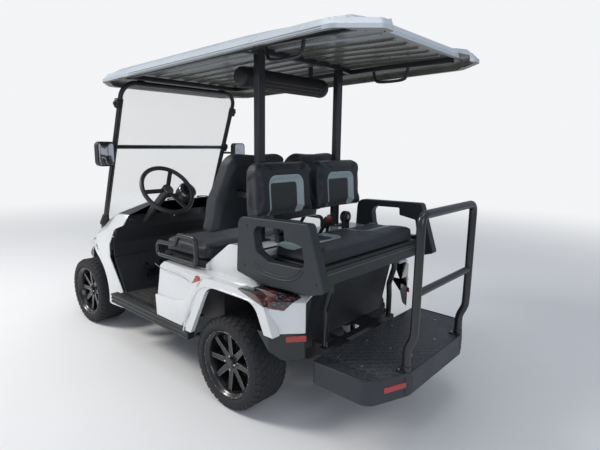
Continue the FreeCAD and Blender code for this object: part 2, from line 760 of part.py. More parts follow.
def joined(things, name, kind="Part::Compound"):
    """Several solids as one object, touching nowhere, or fused."""
    group = DOC.addObject(kind, name)
    if kind == "Part::Compound":
        group.Links = things
    else:
        group.Shapes = things
    return group


def less(base, tool, name):
    """A solid with another taken out of it."""
    cut = DOC.addObject("Part::Cut", name)
    cut.Base = base
    cut.Tool = tool
    return cut


def shared(base, tool, name):
    """What two solids have in common."""
    common = DOC.addObject("Part::Common", name)
    common.Base = base
    common.Tool = tool
    return common


def both_sides(thing, label):
    """A node of a left piece and its mirror image."""
    DOC.recompute()
    return keep(joined([thing, mirrored(thing, f"{label}_right")], label), label)


def bent_line(points, radius, closed=False):
    """A wire through points in space, its corners rounded by arcs."""
    count = len(points)
    cuts = []
    for i, spot in enumerate(points):
        if not closed and i in (0, count - 1):
            cuts.append((spot, spot, spot))
            continue
        back = (points[i - 1] - spot).normalize()
        ahead = (points[(i + 1) % count] - spot).normalize()
        half = back.getAngle(ahead) / 2
        reach = radius / math.tan(half)
        inwards = (back + ahead).normalize()
        depth = radius / math.sin(half) - radius
        cuts.append((spot + back * reach, spot + inwards * depth, spot + ahead * reach))
    edges = []
    for i in range(count if closed else count - 1):
        start, end = cuts[i][2], cuts[(i + 1) % count][0]
        if (end - start).Length > 1e-6:
            edges.append(Part.LineSegment(start, end).toShape())
        following = cuts[(i + 1) % count]
        if (following[2] - following[0]).Length > 1e-6:
            edges.append(Part.Arc(*following).toShape())
    return Part.Wire(Part.__sortEdges__(edges))


def tube(name, points, radius, bend, closed=False):
    """A round bar swept along a bent line of (x, y, z) expressions."""
    spots = [Vector(*(number(value) for value in point)) for point in points]
    spine = DOC.addObject("Part::Feature", f"{name}_line")
    spine.Shape = bent_line(spots, number(bend), closed)
    first = spine.Shape.OrderedEdges[0]
    start = first.valueAt(first.FirstParameter)
    along = first.tangentAt(first.FirstParameter)
    if first.Orientation == "Reversed":
        start = first.valueAt(first.LastParameter)
        along = along * -1
    ring = DOC.addObject("Part::Circle", f"{name}_section")
    ring.setExpression("Radius", tied(radius))
    ring.Placement = Placement(start, Rotation(Vector(0, 0, 1), along))
    bar = DOC.addObject("Part::Sweep", name)
    bar.Sections = [ring]
    bar.Spine = (spine, [f"Edge{i + 1}" for i in range(len(spine.Shape.Edges))])
    bar.Solid = True
    bar.Transition = 0
    return bar


def box(name, low_x, high_x, low_y, high_y, low_z, high_z):
    """A plain box between six tied levels."""
    solid = DOC.addObject("Part::Box", name)
    bind(solid, Length=f"({high_x}) - ({low_x})", Width=f"({high_y}) - ({low_y})",
         Height=f"({high_z}) - ({low_z})")
    return place(solid, low_x, low_y, low_z)


def build_frame():
    """Ladder frame: two kicked-up rails, cross members and outriggers."""
    body = new_body("frame")
    bends = (("rear_axle_x + rail_rear", "rail_high"),
             ("rear_axle_x + kick_rear_start", "rail_high"),
             ("rear_axle_x + kick_rear_end", "rail_low"),
             ("front_axle_x + kick_front_start", "rail_low"),
             ("front_axle_x + kick_front_end", "rail_high"),
             ("front_axle_x + rail_front", "rail_high"))
    corners = [(x, z, "0") for x, z in bends]
    corners += [(x, f"{z} + rail_depth", "0") for x, z in reversed(bends)]
    for low, high in (("rail_inner", "rail_outer"), ("0 - rail_outer", "0 - rail_inner")):
        block(body, corners, low, high, "XZ")
    for row in table_rows("cross_member"):
        back = f"rear_axle_x + {row['ahead']} - member_width / 2"
        front = f"rear_axle_x + {row['ahead']} + member_width / 2"
        top = f"{row['low']} + rail_depth"
        block(body, rectangle(back, front, "0 - rail_inner", "rail_inner"), row["low"], top)
        if number(row["reach"]) > number("rail_outer"):
            for low, high in (("rail_outer", row["reach"]),
                              (f"0 - {row['reach']}", "0 - rail_outer")):
                block(body, rectangle(back, front, low, high), f"{top} - outrigger_depth", top)
    keep(body, "frame")


def build_floor():
    """Floor with the sloping toe board, and the ribbed sills along its sides."""
    floor = new_body("floor_pan")
    block(floor, rectangle("floor_back", "toe_foot_x", "0 - floor_half_width",
                           "floor_half_width"), "floor_low", "floor_top")
    toe = [("toe_foot_x - toe_skin", "floor_low", "0"),
           ("toe_foot_x + toe_step", "floor_low", "0"),
           ("toe_head_x", "toe_head_z", "0"), ("toe_head_x - toe_skin", "toe_head_z", "0"),
           ("toe_foot_x - toe_skin", "floor_top", "0")]
    block(floor, toe, "0 - toe_half_width", "toe_half_width", "XZ")
    keep(floor, "floor_pan")

    sill = new_body("sill_left")
    rib = "(sill_top - sill_low) / 5"
    section = [("floor_half_width", "sill_low", "3"), ("sill_outer", "sill_low", "3")]
    for step in (1, 3):
        for level, depth in ((step, 0), (step, 1), (step + 1, 1), (step + 1, 0)):
            section.append((f"sill_outer - sill_rib * {depth}", f"sill_low + {rib} * {level}", "0"))
    section += [("sill_outer", "sill_top", "4"), ("floor_half_width", "sill_top", "0")]
    block(sill, section, "sill_back", "sill_front", "YZ")
    both_sides(sill, "sill_trims")


def section_sketch(name, row, datum, grow, low):
    """One cross section of a body moulding, an upside-down tub with cut-off shoulders."""
    half = f"({row['half']} + {grow})"
    belt = f"({row['belt']} + {grow} * 0.5)"
    deck = f"({row['deck']} + {grow})"
    inner = f"({row['half']} + {grow} - {row['inset']})"
    right = [(half, low, "0"), (half, belt, "0"), (inner, deck, "0")]
    if "crown" in row:
        right.append((row["crown_half"], f"({row['crown']} + {grow})", "0"))
    left = [(f"0 - {y}", z, turn) for y, z, turn in reversed(right)]
    corners = left[-1:] + right + left[:-1]
    return draw(free_sketch(name, "YZ", f"{datum} + {row['at']}"), corners)


def rear_tub(name, grow, low="body_low"):
    """The rear moulding's outer form, made larger or smaller by a step."""
    sketches = [section_sketch(f"{name}_{i}", row, "rear_axle_x", grow, low)
                for i, row in enumerate(table_rows("rear_section"), 1)]
    return lofted(name, sketches)


def prism(name, corners, low, high, plane="XZ"):
    """An outline as a solid between two levels, as a body of its own."""
    body = new_body(name)
    block(body, corners, low, high, plane)
    return body


def build_rear_body():
    """White rear moulding: side panels, flared arches, tail corners and the hump."""
    outer = rear_tub("rear_outer", "0")
    hump = prism("rear_hump", outline("haunch", "rear_axle_x"),
                 "0 - haunch_half_width", "haunch_half_width")
    flare = []
    arch = table_rows("rear_arch")
    for i, row in enumerate(arch):
        sideways = "flare_width" if i < len(arch) / 2 else "0 - flare_width"
        up = "flare_width" if 0 < i < len(arch) - 1 else "0"
        flare.append((f"rear_axle_x + {row['ahead']} + {sideways}", f"{row['up']} + {up}",
                      row["round"]))
    band = prism("rear_flare", flare, "0 - flare_face", "flare_face")
    band_low = box("rear_flare_low", "rear_axle_x - past", "rear_axle_x + past",
                   "0 - past", "past", "0", "body_low")
    band_middle = box("rear_flare_middle", "rear_axle_x - past", "rear_axle_x + past",
                      "0 - flare_inner", "flare_inner", "0", "2 * past")
    waste = joined([band_low, band_middle], "rear_flare_waste", "Part::MultiFuse")
    solid = joined([outer, hump, less(band, waste, "rear_flare_cut")], "rear_solid",
                   "Part::MultiFuse")
    inner = rear_tub("rear_inner", "0 - skin", "body_low - nick")
    room = prism("rear_hump_room", [
        ("rear_axle_x + haunch_ahead_1 - skin", "body_low", "0"),
        ("rear_axle_x + haunch_ahead_2 - skin", "haunch_up_2 - skin", "0"),
        ("rear_axle_x + haunch_ahead_3", "haunch_up_3 - skin", "haunch_round_3"),
        ("rear_axle_x + haunch_ahead_4 + skin", "haunch_up_4 - skin", "0"),
        ("rear_axle_x + haunch_ahead_5 + skin", "body_low", "0")],
        "skin - haunch_half_width", "haunch_half_width - skin")
    arch_cut = prism("rear_arch_cut", outline("rear_arch", "rear_axle_x"), "0 - past", "past")
    front_cut = prism("rear_front_cut", outline("side_front"), "0 - past", "past")
    hatch = box("battery_hatch", "battery_back - hatch_gap", "battery_front + hatch_gap",
                "0 - battery_half - hatch_gap", "battery_half + hatch_gap",
                "seat_base_z - hatch_depth", "seat_base_z + nick")
    notch = box("rear_notch", "rear_axle_x - past", "tray_front - notch_gap",
                "0 - notch_half_width", "notch_half_width", "0", "2 * past")
    tail_cut = box("tail_cut", "rear_axle_x - past", "rear_axle_x + rear_arch_ahead_3",
                   "0 - past", "past", "0", "tail_low")
    tools = joined([inner, room, arch_cut, front_cut, hatch, notch, tail_cut],
                   "rear_tools", "Part::MultiFuse")
    keep(less(solid, tools, "rear_body"), "rear_body")
    return solid


def build_tail(solid):
    """Tail lamps wrapped round the corners and the black bumper corners under them."""
    grown = rear_tub("lamp_outer", "lamp_proud")
    lens = prism("lamp_outline", outline("tail_lamp", "rear_axle_x"), "lamp_inner", "past")
    lamp = less(shared(grown, lens, "lamp_skin"), solid, "lamp_left")
    both_sides(lamp, "tail_lamps")

    wide = rear_tub("bumper_outer", "0", "bumper_low")
    hollow = rear_tub("bumper_inner", "0 - bumper_skin", "bumper_low - nick")
    corner = less(wide, hollow, "bumper_shell")
    tail_end = "rear_axle_x + rear_section_at_5 - nick"
    band = prism("bumper_band", [
        ("rear_axle_x + rear_arch_ahead_3", "tail_low", "0"),
        ("rear_axle_x + rear_arch_ahead_4 + bumper_sweep", "bumper_front_low", "30"),
        (tail_end, "bumper_back_low", "0"), (tail_end, "tail_low", "0")],
        "notch_half_width", "past")
    both_sides(shared(corner, band, "bumper_left"), "rear_bumper")


def build_cowl():
    """White front cowl, hollow from below, and the black dashboard let into its top."""
    def form(name, grow, lower):
        rows = table_rows("cowl_section")
        sketches = []
        for i, row in enumerate(rows, 1):
            datum = f"front_axle_x + {grow}" if i == len(rows) else "front_axle_x"
            sketches.append(section_sketch(f"{name}_{i}", row, datum, grow,
                                           f"{row['low']} - {lower}"))
        return lofted(name, sketches)

    outer = form("cowl_outer", "0", "0")
    inner = form("cowl_inner", "0 - skin", "hatch_depth")
    door = prism("cowl_door", outline("door_edge", "front_axle_x"), "0 - past", "past")
    arch = DOC.addObject("Part::Cylinder", "cowl_arch")
    bind(arch, Radius="front_arch_radius", Height="2 * past")
    arch.Placement = Placement(Vector(), Rotation(Vector(1, 0, 0), 90))
    place(arch, "front_axle_x", "past", "front_arch_z")
    open_back = box("cowl_open_back", "front_axle_x - past", "front_axle_x + cowl_back",
                    "0 - past", "past", "0", "2 * past")
    dash_gap = box("cowl_dash_gap", "front_axle_x + cowl_back",
                   "front_axle_x + dash_gap_front",
                   "0 - dash_half_width", "dash_half_width", "tail_low", "2 * past")
    tools = joined([inner, door, arch, open_back, dash_gap], "cowl_tools", "Part::MultiFuse")
    cowl = keep(less(outer, tools, "front_cowl"), "front_cowl")

    shell = less(outer, inner, "dash_shell")
    panel = prism("dash_panel_form", outline("dash_panel", "front_axle_x"),
                  "0 - toe_half_width", "toe_half_width")
    dash = joined([shared(shell, dash_gap, "dash_top"), shared(panel, outer, "dash_face")],
                  "dash_whole", "Part::MultiFuse")
    keep(less(dash, cowl, "dashboard"), "dashboard")
    return outer


def build_front(outer):
    """Headlamps and front bumper."""
    lamp = DOC.addObject("Part::Cylinder", "headlamp_left")
    bind(lamp, Radius="head_lamp_radius", Height="head_lamp_depth")
    lamp.Placement = Placement(Vector(), Rotation(Vector(0, 1, 0), 90))
    place(lamp, "front_axle_x + head_lamp_x", "head_lamp_y", "head_lamp_z")
    both_sides(less(lamp, outer, "headlamp_cut"), "headlamps")

    bumper = new_body("front_bumper")
    back = "rail_front + front_axle_x"
    left = [("front_axle_x + nose_face", "nose_flat", "60"),
            ("front_axle_x + nose_side", "nose_wide", "40"), (back, "nose_wide", "10")]
    right = [(x, f"0 - {y}", rounding) for x, y, rounding in reversed(left)]
    block(bumper, left + right, "rail_high - nose_drop", "rail_high + nose_rise")
    keep(bumper, "front_bumper")


def roof_level(along):
    """Height of the roof's underside plane at a place along the cart."""
    return f"(roof_under - ({along}) * tan(roof_tilt * 1 deg))"


def build_windshield(cowl, roof):
    """Sloping tube frame with feet on the cowl and hangers to the roof, and its two panes."""
    points = [("0", "0 - shield_half", "0"), ("0", "0 - shield_half", "shield_height"),
              ("0", "shield_half", "shield_height"), ("0", "shield_half", "0")]
    hoop = tube("shield_hoop", points, "shield_tube", "shield_bend")
    split = DOC.addObject("Part::Cylinder", "shield_split")
    bind(split, Radius="split_half", Height="2 * shield_half")
    split.Placement = Placement(Vector(), Rotation(Vector(1, 0, 0), 90))
    place(split, "0", "shield_half", "glass_split")
    lean = Rotation(Vector(0, 1, 0), -number("shield_tilt"))
    sloped = joined([hoop, split], "shield_sloped", "Part::MultiFuse")
    sloped.Placement = Placement(Vector(), lean)
    place(sloped, "shield_foot_x", "0", "shield_foot_z")
    top_x = "(shield_foot_x - shield_height * sin(shield_tilt * 1 deg))"
    pieces = [sloped]
    for name, side in (("left", 1), ("right", -1)):
        middle = f"{side} * shield_half"
        pieces.append(box(f"shield_foot_{name}", "shield_foot_x - foot_half_x",
                          "shield_foot_x + foot_half_x", f"{middle} - foot_half_y",
                          f"{middle} + foot_half_y", "shield_foot_z - foot_root",
                          "shield_foot_z + foot_height"))
        middle = f"{side} * rib_pitch * 3"
        hanger = box(f"shield_hanger_{name}", f"{top_x} - hanger_half_x",
                     f"{top_x} + hanger_half_x", f"{middle} - hanger_half_y",
                     f"{middle} + hanger_half_y", f"{roof_level(top_x)} - hanger_drop",
                     f"{roof_level(top_x)} + roof_recess + grip_bite")
        pieces.append(less(hanger, roof, f"shield_hanger_{name}_cut"))
    whole = joined(pieces, "shield_whole", "Part::MultiFuse")
    frame = keep(less(whole, cowl, "windshield_frame"), "windshield_frame")
    panes = []
    edge = "shield_half - shield_tube - glass_gap"
    top = "shield_height - shield_tube - glass_gap"
    for name, low, high, radius in (
            ("lower", "glass_low", "glass_split - split_half - glass_gap", "pane_round"),
            ("upper", "glass_split + split_half + glass_gap", top,
             "shield_bend - shield_tube")):
        corners = [(f"0 - ({edge})", low, "pane_round"), (edge, low, "pane_round"),
                   (edge, high, radius), (f"0 - ({edge})", high, radius)]
        panes.append(prism(f"pane_{name}", corners, "0 - glass_thick / 2", "glass_thick / 2",
                           "YZ"))
    glass = joined(panes, "shield_panes")
    glass.Placement = Placement(Vector(), lean)
    place(glass, "shield_foot_x", "0", "shield_foot_z")
    keep(less(glass, cowl, "windshield_glass"), "windshield_glass")
    return frame


def build_roof():
    """Moulded roof with a recess and ribs under it, on the tilt of the roof."""
    def edge(inset):
        left = [(row["along"], row["out"], row["round"]) for row in table_rows("roof_edge")]
        count = len(left)
        corners = []
        for i, (along, out, rounding) in enumerate(left):
            pull = f"0 - ({inset})" if i < count / 2 - 1 else inset
            corners.append((f"{along} + {pull}", f"{out} - ({inset})", rounding))
        right = [(along, f"0 - ({out})", rounding) for along, out, rounding in reversed(corners)]
        return corners + right

    rim = prism("roof_rim_block", edge("0"), "0", "roof_rim", "XY")
    low = draw(free_sketch("roof_low", "XY", z="roof_rim"), edge("0"))
    high = draw(free_sketch("roof_high", "XY", z="roof_thick"), edge("roof_draft"))
    crown = lofted("roof_crown", [low, high])
    recess = prism("roof_recess_block", edge("roof_lip"), "0 - nick", "roof_recess", "XY")
    ribs = []
    for i in range(-4, 5):
        middle = f"{i} * rib_pitch"
        ribs.append(box(f"roof_rib_{i + 5}", "roof_rail_back - rib_before",
                        "roof_rail_front + rib_after",
                        f"{middle} - roof_rib_width / 2", f"{middle} + roof_rib_width / 2",
                        "roof_recess - roof_rib_depth", "roof_recess + seat_gap"))
    shell = less(joined([rim, crown], "roof_solid", "Part::MultiFuse"), recess, "roof_shell")
    roof = joined([shell] + ribs, "roof", "Part::MultiFuse")
    roof.Placement = Placement(Vector(), Rotation(Vector(0, 1, 0), number("roof_tilt")))
    place(roof, "0", "0", "roof_under")
    bind(roof, Placement__Rotation__Angle="roof_tilt")
    keep(roof, "roof")
    return roof


def build_roof_rails():
    """Square rails and cross tubes under the roof, with a grip under each side."""
    low, high = "roof_recess - roof_rib_depth - rail_tube", "roof_recess - roof_rib_depth"
    rail_y = "rib_pitch * 4"
    pieces = []
    hoops = []
    for name, side in (("left", 1), ("right", -1)):
        middle = f"{side} * {rail_y}"
        pieces.append(box(f"roof_rail_{name}", "roof_rail_back", "roof_rail_front",
                          f"{middle} - rail_tube / 2", f"{middle} + rail_tube / 2", low, high))
        grip_z = f"{low} - grip_drop + grip_radius"
        points = [("grip_back", middle, f"{low} + grip_bite"),
                  ("grip_back + grip_slope", middle, grip_z),
                  ("grip_front - grip_slope", middle, grip_z),
                  ("grip_front", middle, f"{low} + grip_bite")]
        hoops.append(tube(f"roof_grip_{name}", points, "grip_radius", "grip_bend"))
    for name, middle in (("front", "roof_rail_front - rail_tube"), ("post", "post_x"),
                         ("rear", "roof_rail_back + rail_tube")):
        pieces.append(box(f"roof_cross_{name}", f"{middle} - rail_tube / 2",
                          f"{middle} + rail_tube / 2", f"0 - {rail_y}", rail_y, low, high))
    rails = joined(pieces, "roof_rails", "Part::MultiFuse")
    room = joined([box("roof_room_box", "0 - 3 * past", "3 * past", "0 - past", "past", low,
                       "past")], "roof_room")
    grips = joined(hoops, "roof_grip_pair")
    for tilted in (rails, room, grips):
        tilted.Placement = Placement(Vector(), Rotation(Vector(0, 1, 0), number("roof_tilt")))
        place(tilted, "0", "0", "roof_under")
        bind(tilted, Placement__Rotation__Angle="roof_tilt")
    keep(rails, "roof_rails")
    keep(less(grips, rails, "roof_grips"), "roof_grips")
    return room


def build_posts(solid, room, roof):
    """Two rear roof posts on foot plates, and the overhead bar."""
    pieces = []
    for name, side in (("left", 1), ("right", -1)):
        middle = f"{side} * post_y"
        root = "haunch_up_3 - post_root"
        pieces.append(box(f"post_{name}", "post_x - post_length / 2", "post_x + post_length / 2",
                          f"{middle} - post_width / 2", f"{middle} + post_width / 2", root,
                          roof_level("post_x")))
        pieces.append(box(f"post_foot_{name}", "post_x - post_foot_half",
                          "post_x + post_foot_half", f"{middle} - post_foot_half",
                          f"{middle} + post_foot_half", root, "haunch_up_3 + post_foot_thick"))
    whole = joined(pieces, "posts_whole", "Part::MultiFuse")
    keep(less(less(whole, solid, "posts_seated"), room, "roof_posts"), "roof_posts")

    bar = new_body("bar_drum")
    turned(bar, [("0 - bar_half", "0", "0"), ("0 - bar_half", "bar_radius", "bar_cap"),
                 ("bar_half", "bar_radius", "bar_cap"), ("bar_half", "0", "0")])
    place(bar, "bar_x", "0", "bar_z")
    hangers = []
    for name, side in (("left", 1), ("right", -1)):
        middle = f"{side} * rib_pitch * 2"
        hangers.append(box(f"bar_hanger_{name}", "bar_x - hanger_half_x", "bar_x + hanger_half_x",
                           f"{middle} - roof_rib_width / 2", f"{middle} + roof_rib_width / 2",
                           "bar_z + bar_radius - grip_bite",
                           f"{roof_level('bar_x')} + roof_recess + grip_bite"))
    hanger = less(joined(hangers, "bar_hangers"), roof, "bar_hangers_cut")
    keep(joined([bar, hanger], "sound_bar", "Part::MultiFuse"), "sound_bar")


def build_steering():
    """Steering column with its gauge pod, and the steering wheel."""
    lean = Rotation(Vector(0, 1, 0), -number("column_tilt"))
    column = new_body("column")
    drum(column, "XY", ("0", "0"), "column_radius", "0 - hub_drop - seat_gap - column_length",
         "0 - hub_drop - seat_gap")
    block(column, rectangle("0 - pod_arm", "pod_arm", "pod_y - wheel_y", "0"),
          "0 - pod_arm_low", "0 - pod_arm_high")
    drum(column, "XY", ("0", "pod_y - wheel_y"), "pod_radius", "0 - pod_back", "0 - pod_face")
    column.Placement = Placement(Vector(), lean)
    place(column, "wheel_x", "wheel_y", "wheel_z")
    face = outline("dash_panel", "front_axle_x")[:4]
    ahead = face + [("front_axle_x", face[-1][1], "0"), ("front_axle_x", face[0][1], "0")]
    keep(less(column, prism("dash_room", ahead, "0", "dash_half_width"), "steering_column"),
         "steering_column")

    wheel = new_body("steering_wheel")
    drum(wheel, "XY", ("0", "0"), "hub_size", "0 - hub_drop", "hub_rise")
    sketch = draw(body_sketch(wheel, "XY", "0 - spoke_low"),
                  rectangle("0 - spoke_half", "spoke_half", "hub_size - spoke_bite",
                            "wheel_radius"))
    spoke = extruded(wheel, "Pad", sketch, "spoke_plate")
    DOC.recompute()
    spread = wheel.newObject("PartDesign::PolarPattern", "wheel_spokes")
    spread.Originals = [spoke]
    spread.Axis = (sketch, ["N_Axis"])
    spread.Angle = 360
    spread.Occurrences = 3
    wheel.Tip = spread
    rim = draw_circle(body_sketch(wheel, "XZ"), "wheel_radius", "0", "wheel_rope")
    hoop = wheel.newObject("PartDesign::Revolution", "wheel_hoop")
    hoop.Profile = rim
    hoop.ReferenceAxis = (rim, ["V_Axis"])
    hoop.Angle = 360
    wheel.Placement = Placement(Vector(), lean)
    place(wheel, "wheel_x", "wheel_y", "wheel_z")
    keep(wheel, "steering_wheel")


def build_pedals(floor):
    """Accelerator and brake pads on arms that rise from the toe board."""
    pads = []
    for name, middle in (("brake", "pedal_brake_y"), ("accelerator", "pedal_run_y")):
        body = new_body(f"pedal_{name}")
        for table, half in (("pedal", "pedal_half"), ("pedal_arm", "pedal_arm_half")):
            corners = [(x, f"floor_top + {z}", r) for x, z, r in outline(table, "toe_foot_x")]
            block(body, corners, f"{middle} - {half}", f"{middle} + {half}", "XZ")
        pads.append(body)
    keep(less(joined(pads, "pedal_pair"), floor, "pedals"), "pedals")


def build_running_gear():
    """Rear axle, gear housing, motor and springs; front beam and springs; battery pack."""
    axle = new_body("rear_axle")
    drum(axle, "XZ", ("rear_axle_x", "tyre_radius"), "axle_radius",
         "0 - rear_track / 2 - drum_inside", "rear_track / 2 + drum_inside")
    drum(axle, "XZ", ("rear_axle_x", "tyre_radius"), "gear_radius", "0 - gear_half", "gear_half")
    drum(axle, "XZ", ("rear_axle_x - motor_behind", "tyre_radius"), "motor_radius",
         "0 - motor_half", "motor_half")
    drum(axle, "XZ", ("rear_axle_x", "tyre_radius"), "stub_radius",
         "0 - rear_track / 2 - stub_reach", "rear_track / 2 + stub_reach")
    for low, high in (("rear_track / 2 + drum_inside", "rear_track / 2 + drum_outside"),
                      ("0 - rear_track / 2 - drum_outside", "0 - rear_track / 2 - drum_inside")):
        drum(axle, "XZ", ("rear_axle_x", "tyre_radius"), "drum_radius", low, high)
    springs(axle, "rear_axle_x", "tyre_radius + axle_radius - spring_sink", "rear_leaf_half",
            "rear_leaf_inner", "rail_outer", "rear_hanger_top")
    keep(axle, "rear_axle")

    beam = new_body("front_suspension")
    block(beam, rectangle("front_axle_x - beam_half", "front_axle_x + beam_half",
                          "tyre_radius - beam_half", "tyre_radius + beam_half"),
          "boss_radius - spring_sink - kingpin_y", "kingpin_y - boss_radius + spring_sink",
          "XZ")
    springs(beam, "front_axle_x", "tyre_radius + beam_half", "front_leaf_half",
            "rail_inner", "rail_inner", "rail_high")
    for side in (1, -1):
        centre = ("front_axle_x", f"{side} * kingpin_y")
        drum(beam, "XY", centre, "boss_radius", "tyre_radius - boss_half",
             "tyre_radius + boss_half")
    for side in (1, -1):
        centre = ("front_axle_x", f"{side} * kingpin_y")
        drum(beam, "XY", centre, "kingpin_radius + running_gap",
             "tyre_radius - boss_half - nick", "tyre_radius + boss_half + nick", "Pocket")
    keep(beam, "front_suspension")

    keep(box("battery_pack", "battery_back", "battery_front", "0 - battery_half",
             "battery_half", "floor_low", "floor_low + battery_height"), "battery_pack")


def springs(body, axle_x, seat_z, half, inner, hanger_inner, hanger_top):
    """A pair of leaf springs over an axle, with a hanger at each end."""
    outer = f"{inner} + leaf_width"
    bow = [(f"{axle_x} - {half}", f"{seat_z} + leaf_rise", "0"),
           (f"{axle_x} - leaf_seat", seat_z, "0"), (f"{axle_x} + leaf_seat", seat_z, "0"),
           (f"{axle_x} + {half}", f"{seat_z} + leaf_rise", "0")]
    bow += [(x, f"{z} + leaf_thick", "0") for x, z, _ in reversed(bow)]
    low = f"{seat_z} + leaf_rise"
    for sign in (1, -1):
        levels = sorted((f"{sign} * ({inner})", f"{sign} * ({outer})"), key=number)
        block(body, bow, *levels, "XZ")
        levels = sorted((f"{sign} * ({hanger_inner})", f"{sign} * ({outer})"), key=number)
        for end in (f"{axle_x} - {half}", f"{axle_x} + {half}"):
            block(body, rectangle(f"{end} - hanger_length / 2", f"{end} + hanger_length / 2",
                                  low, hanger_top), *levels, "XZ")


def build_knuckles():
    """Steering knuckles with kingpin, spindle and arm, and the tie rod between them."""
    left = new_body("knuckle_left")
    here = ("front_axle_x", "kingpin_y")
    top = "tyre_radius + boss_half + ear_gap"
    drum(left, "XY", here, "kingpin_radius", "arm_under", f"{top} + ear_thick")
    web = rectangle("front_axle_x - boss_radius", "front_axle_x + boss_radius",
                    "kingpin_y + web_inside",
                    "kingpin_y + web_inside + web_thick")
    block(left, web, "arm_under", f"{top} + ear_thick")
    bridge = rectangle("front_axle_x - boss_radius", "front_axle_x + boss_radius", "kingpin_y",
                       "kingpin_y + web_inside + nick")
    for low in ("arm_under", top):
        drum(left, "XY", here, "ear_radius", low, f"{low} + ear_thick")
        block(left, bridge, low, f"{low} + ear_thick")
    drum(left, "XZ", ("front_axle_x", "tyre_radius"), "stub_radius",
         "kingpin_y + web_inside + nick", "front_track / 2 + stub_reach")
    drum(left, "XZ", ("front_axle_x", "tyre_radius"), "drum_radius",
         "kingpin_y + web_inside + nick", "front_track / 2 + drum_outside")
    tip = ("front_axle_x - arm_length", "kingpin_y - arm_inset")
    arm = [("front_axle_x", "kingpin_y - arm_width / 2", "0"),
           ("front_axle_x", "kingpin_y + arm_width / 2", "0"),
           (tip[0], f"{tip[1]} + arm_width / 2", "0"), (tip[0], f"{tip[1]} - arm_width / 2", "0")]
    block(left, arm, "arm_under", "arm_under + ear_thick")
    drum(left, "XY", tip, "arm_width / 2", "arm_under", "arm_under + ear_thick")
    keep(left, "knuckle_left")
    DOC.recompute()
    keep(mirrored(left, "knuckle_right"), "knuckle_right")

    rod = new_body("tie_rod")
    drum(rod, "XZ", (tip[0], "arm_under - rod_drop"), "rod_radius", f"0 - ({tip[1]})", tip[1])
    for side in (1, -1):
        drum(rod, "XY", (tip[0], f"{side} * ({tip[1]})"), "rod_end_radius",
             "arm_under - rod_drop - rod_end_radius", "arm_under - seat_gap")
    keep(rod, "tie_rod")


def build_wheel(axle, corner, axle_x, side_y, turn):
    """Tyre and eight-spoke rim, made about the origin with the outer face towards +Y."""
    lip = "rim_width / 2"
    well = "rim_well + rim_wall"
    rim = new_body(f"rim_{axle}_{corner}")
    profile = []
    for sign, order in ((1, 1), (-1, -1)):
        half = [(f"{sign} * ({lip} - rim_flange)", well, "0"),
                (f"{sign} * ({lip} - rim_flange)", "rim_radius", "0"),
                (f"{sign} * {lip}", "rim_radius", "0"),
                (f"{sign} * {lip}", "rim_radius - flange_drop", "0"),
                (f"{sign} * ({lip} - rim_flange - flange_drop)", "rim_well", "0")]
        profile += half[::order]
    turned(rim, profile)
    turned(rim, [("hub_inside", "0", "0"), ("hub_inside", "hub_radius - cap_step", "0"),
                 ("spoke_face - cap_step", "hub_radius", "0"),
                 ("spoke_face", "hub_radius - cap_step", "0"), ("spoke_face", "cap_radius", "0"),
                 ("spoke_face + cap_height", "cap_radius - cap_step", "0"),
                 ("spoke_face + cap_height", "0", "0")])
    root, tip = "hub_radius - spoke_bite", "rim_well + rim_wall / 2"
    sketch = draw(body_sketch(rim, "XZ", "0 - spoke_face"),
                  [(root, "0 - spoke_root / 2", "0"), (tip, "0 - spoke_tip / 2", "0"),
                   (tip, "spoke_tip / 2", "0"), (root, "spoke_root / 2", "0")])
    spoke = extruded(rim, "Pad", sketch, "spoke_depth")
    DOC.recompute()
    spokes = rim.newObject("PartDesign::PolarPattern", f"{rim.Name}_spokes")
    spokes.Originals = [spoke]
    spokes.Axis = (sketch, ["N_Axis"])
    spokes.Angle = 360
    spokes.setExpression("Occurrences", tied("spoke_count"))
    rim.Tip = spokes
    drum(rim, "XZ", ("0", "0"), "stub_radius + running_gap", "hub_inside - nick",
         "stub_reach + bead_step", "Pocket")

    tyre = new_body(f"tyre_{axle}_{corner}")
    wide = "tyre_width / 2"
    half = [(f"{lip} - rim_flange - bead_gap", f"{well} + bead_gap", "0"),
            (f"{lip} - rim_flange - bead_gap", "rim_radius + bead_step", "0"),
            (f"{wide} - shoulder_wide", "rim_radius + 2 * bead_step", "0"),
            (wide, "rim_radius + side_rise", "0"),
            (f"{wide} - shoulder_wide", "tyre_radius - shoulder_drop", "0"),
            (f"{wide} - tread_in", "tyre_radius", "0")]
    turned(tyre, half + [(f"0 - ({y})", r, "0") for y, r, _ in reversed(half)])
    for piece in (rim, tyre):
        piece.Placement = Placement(Vector(), Rotation(Vector(0, 0, 1), turn))
        place(piece, axle_x, side_y, "tyre_radius")
        keep(piece, piece.Name)


def build_wheels():
    """Four wheels, front pair on the steering knuckles."""
    for front, axle, track in ((0, "rear", "rear_track"), (1, "front", "front_track")):
        axle_x = "front_axle_x" if front else "rear_axle_x"
        for corner, side, turn in (("left", 1, 0), ("right", -1, 180)):
            build_wheel(axle, corner, axle_x, f"{side} * {track} / 2", turn)


def seat_back(table, inner, outer, rounding):
    """A padded back: its side outline across the seat, trimmed to rounded corners."""
    body = prism(table, outline(table), inner, outer)
    low = min((row["up"] for row in table_rows(table)), key=number)
    high = max((row["up"] for row in table_rows(table)), key=number)
    shape = [(inner, low, "back_foot_round"), (outer, low, "back_foot_round"),
             (outer, high, rounding), (inner, high, rounding)]
    frame = prism(f"{table}_frame", shape, "0 - 2 * past", "0", "YZ")
    return shared(body, frame, f"{table}_shaped")


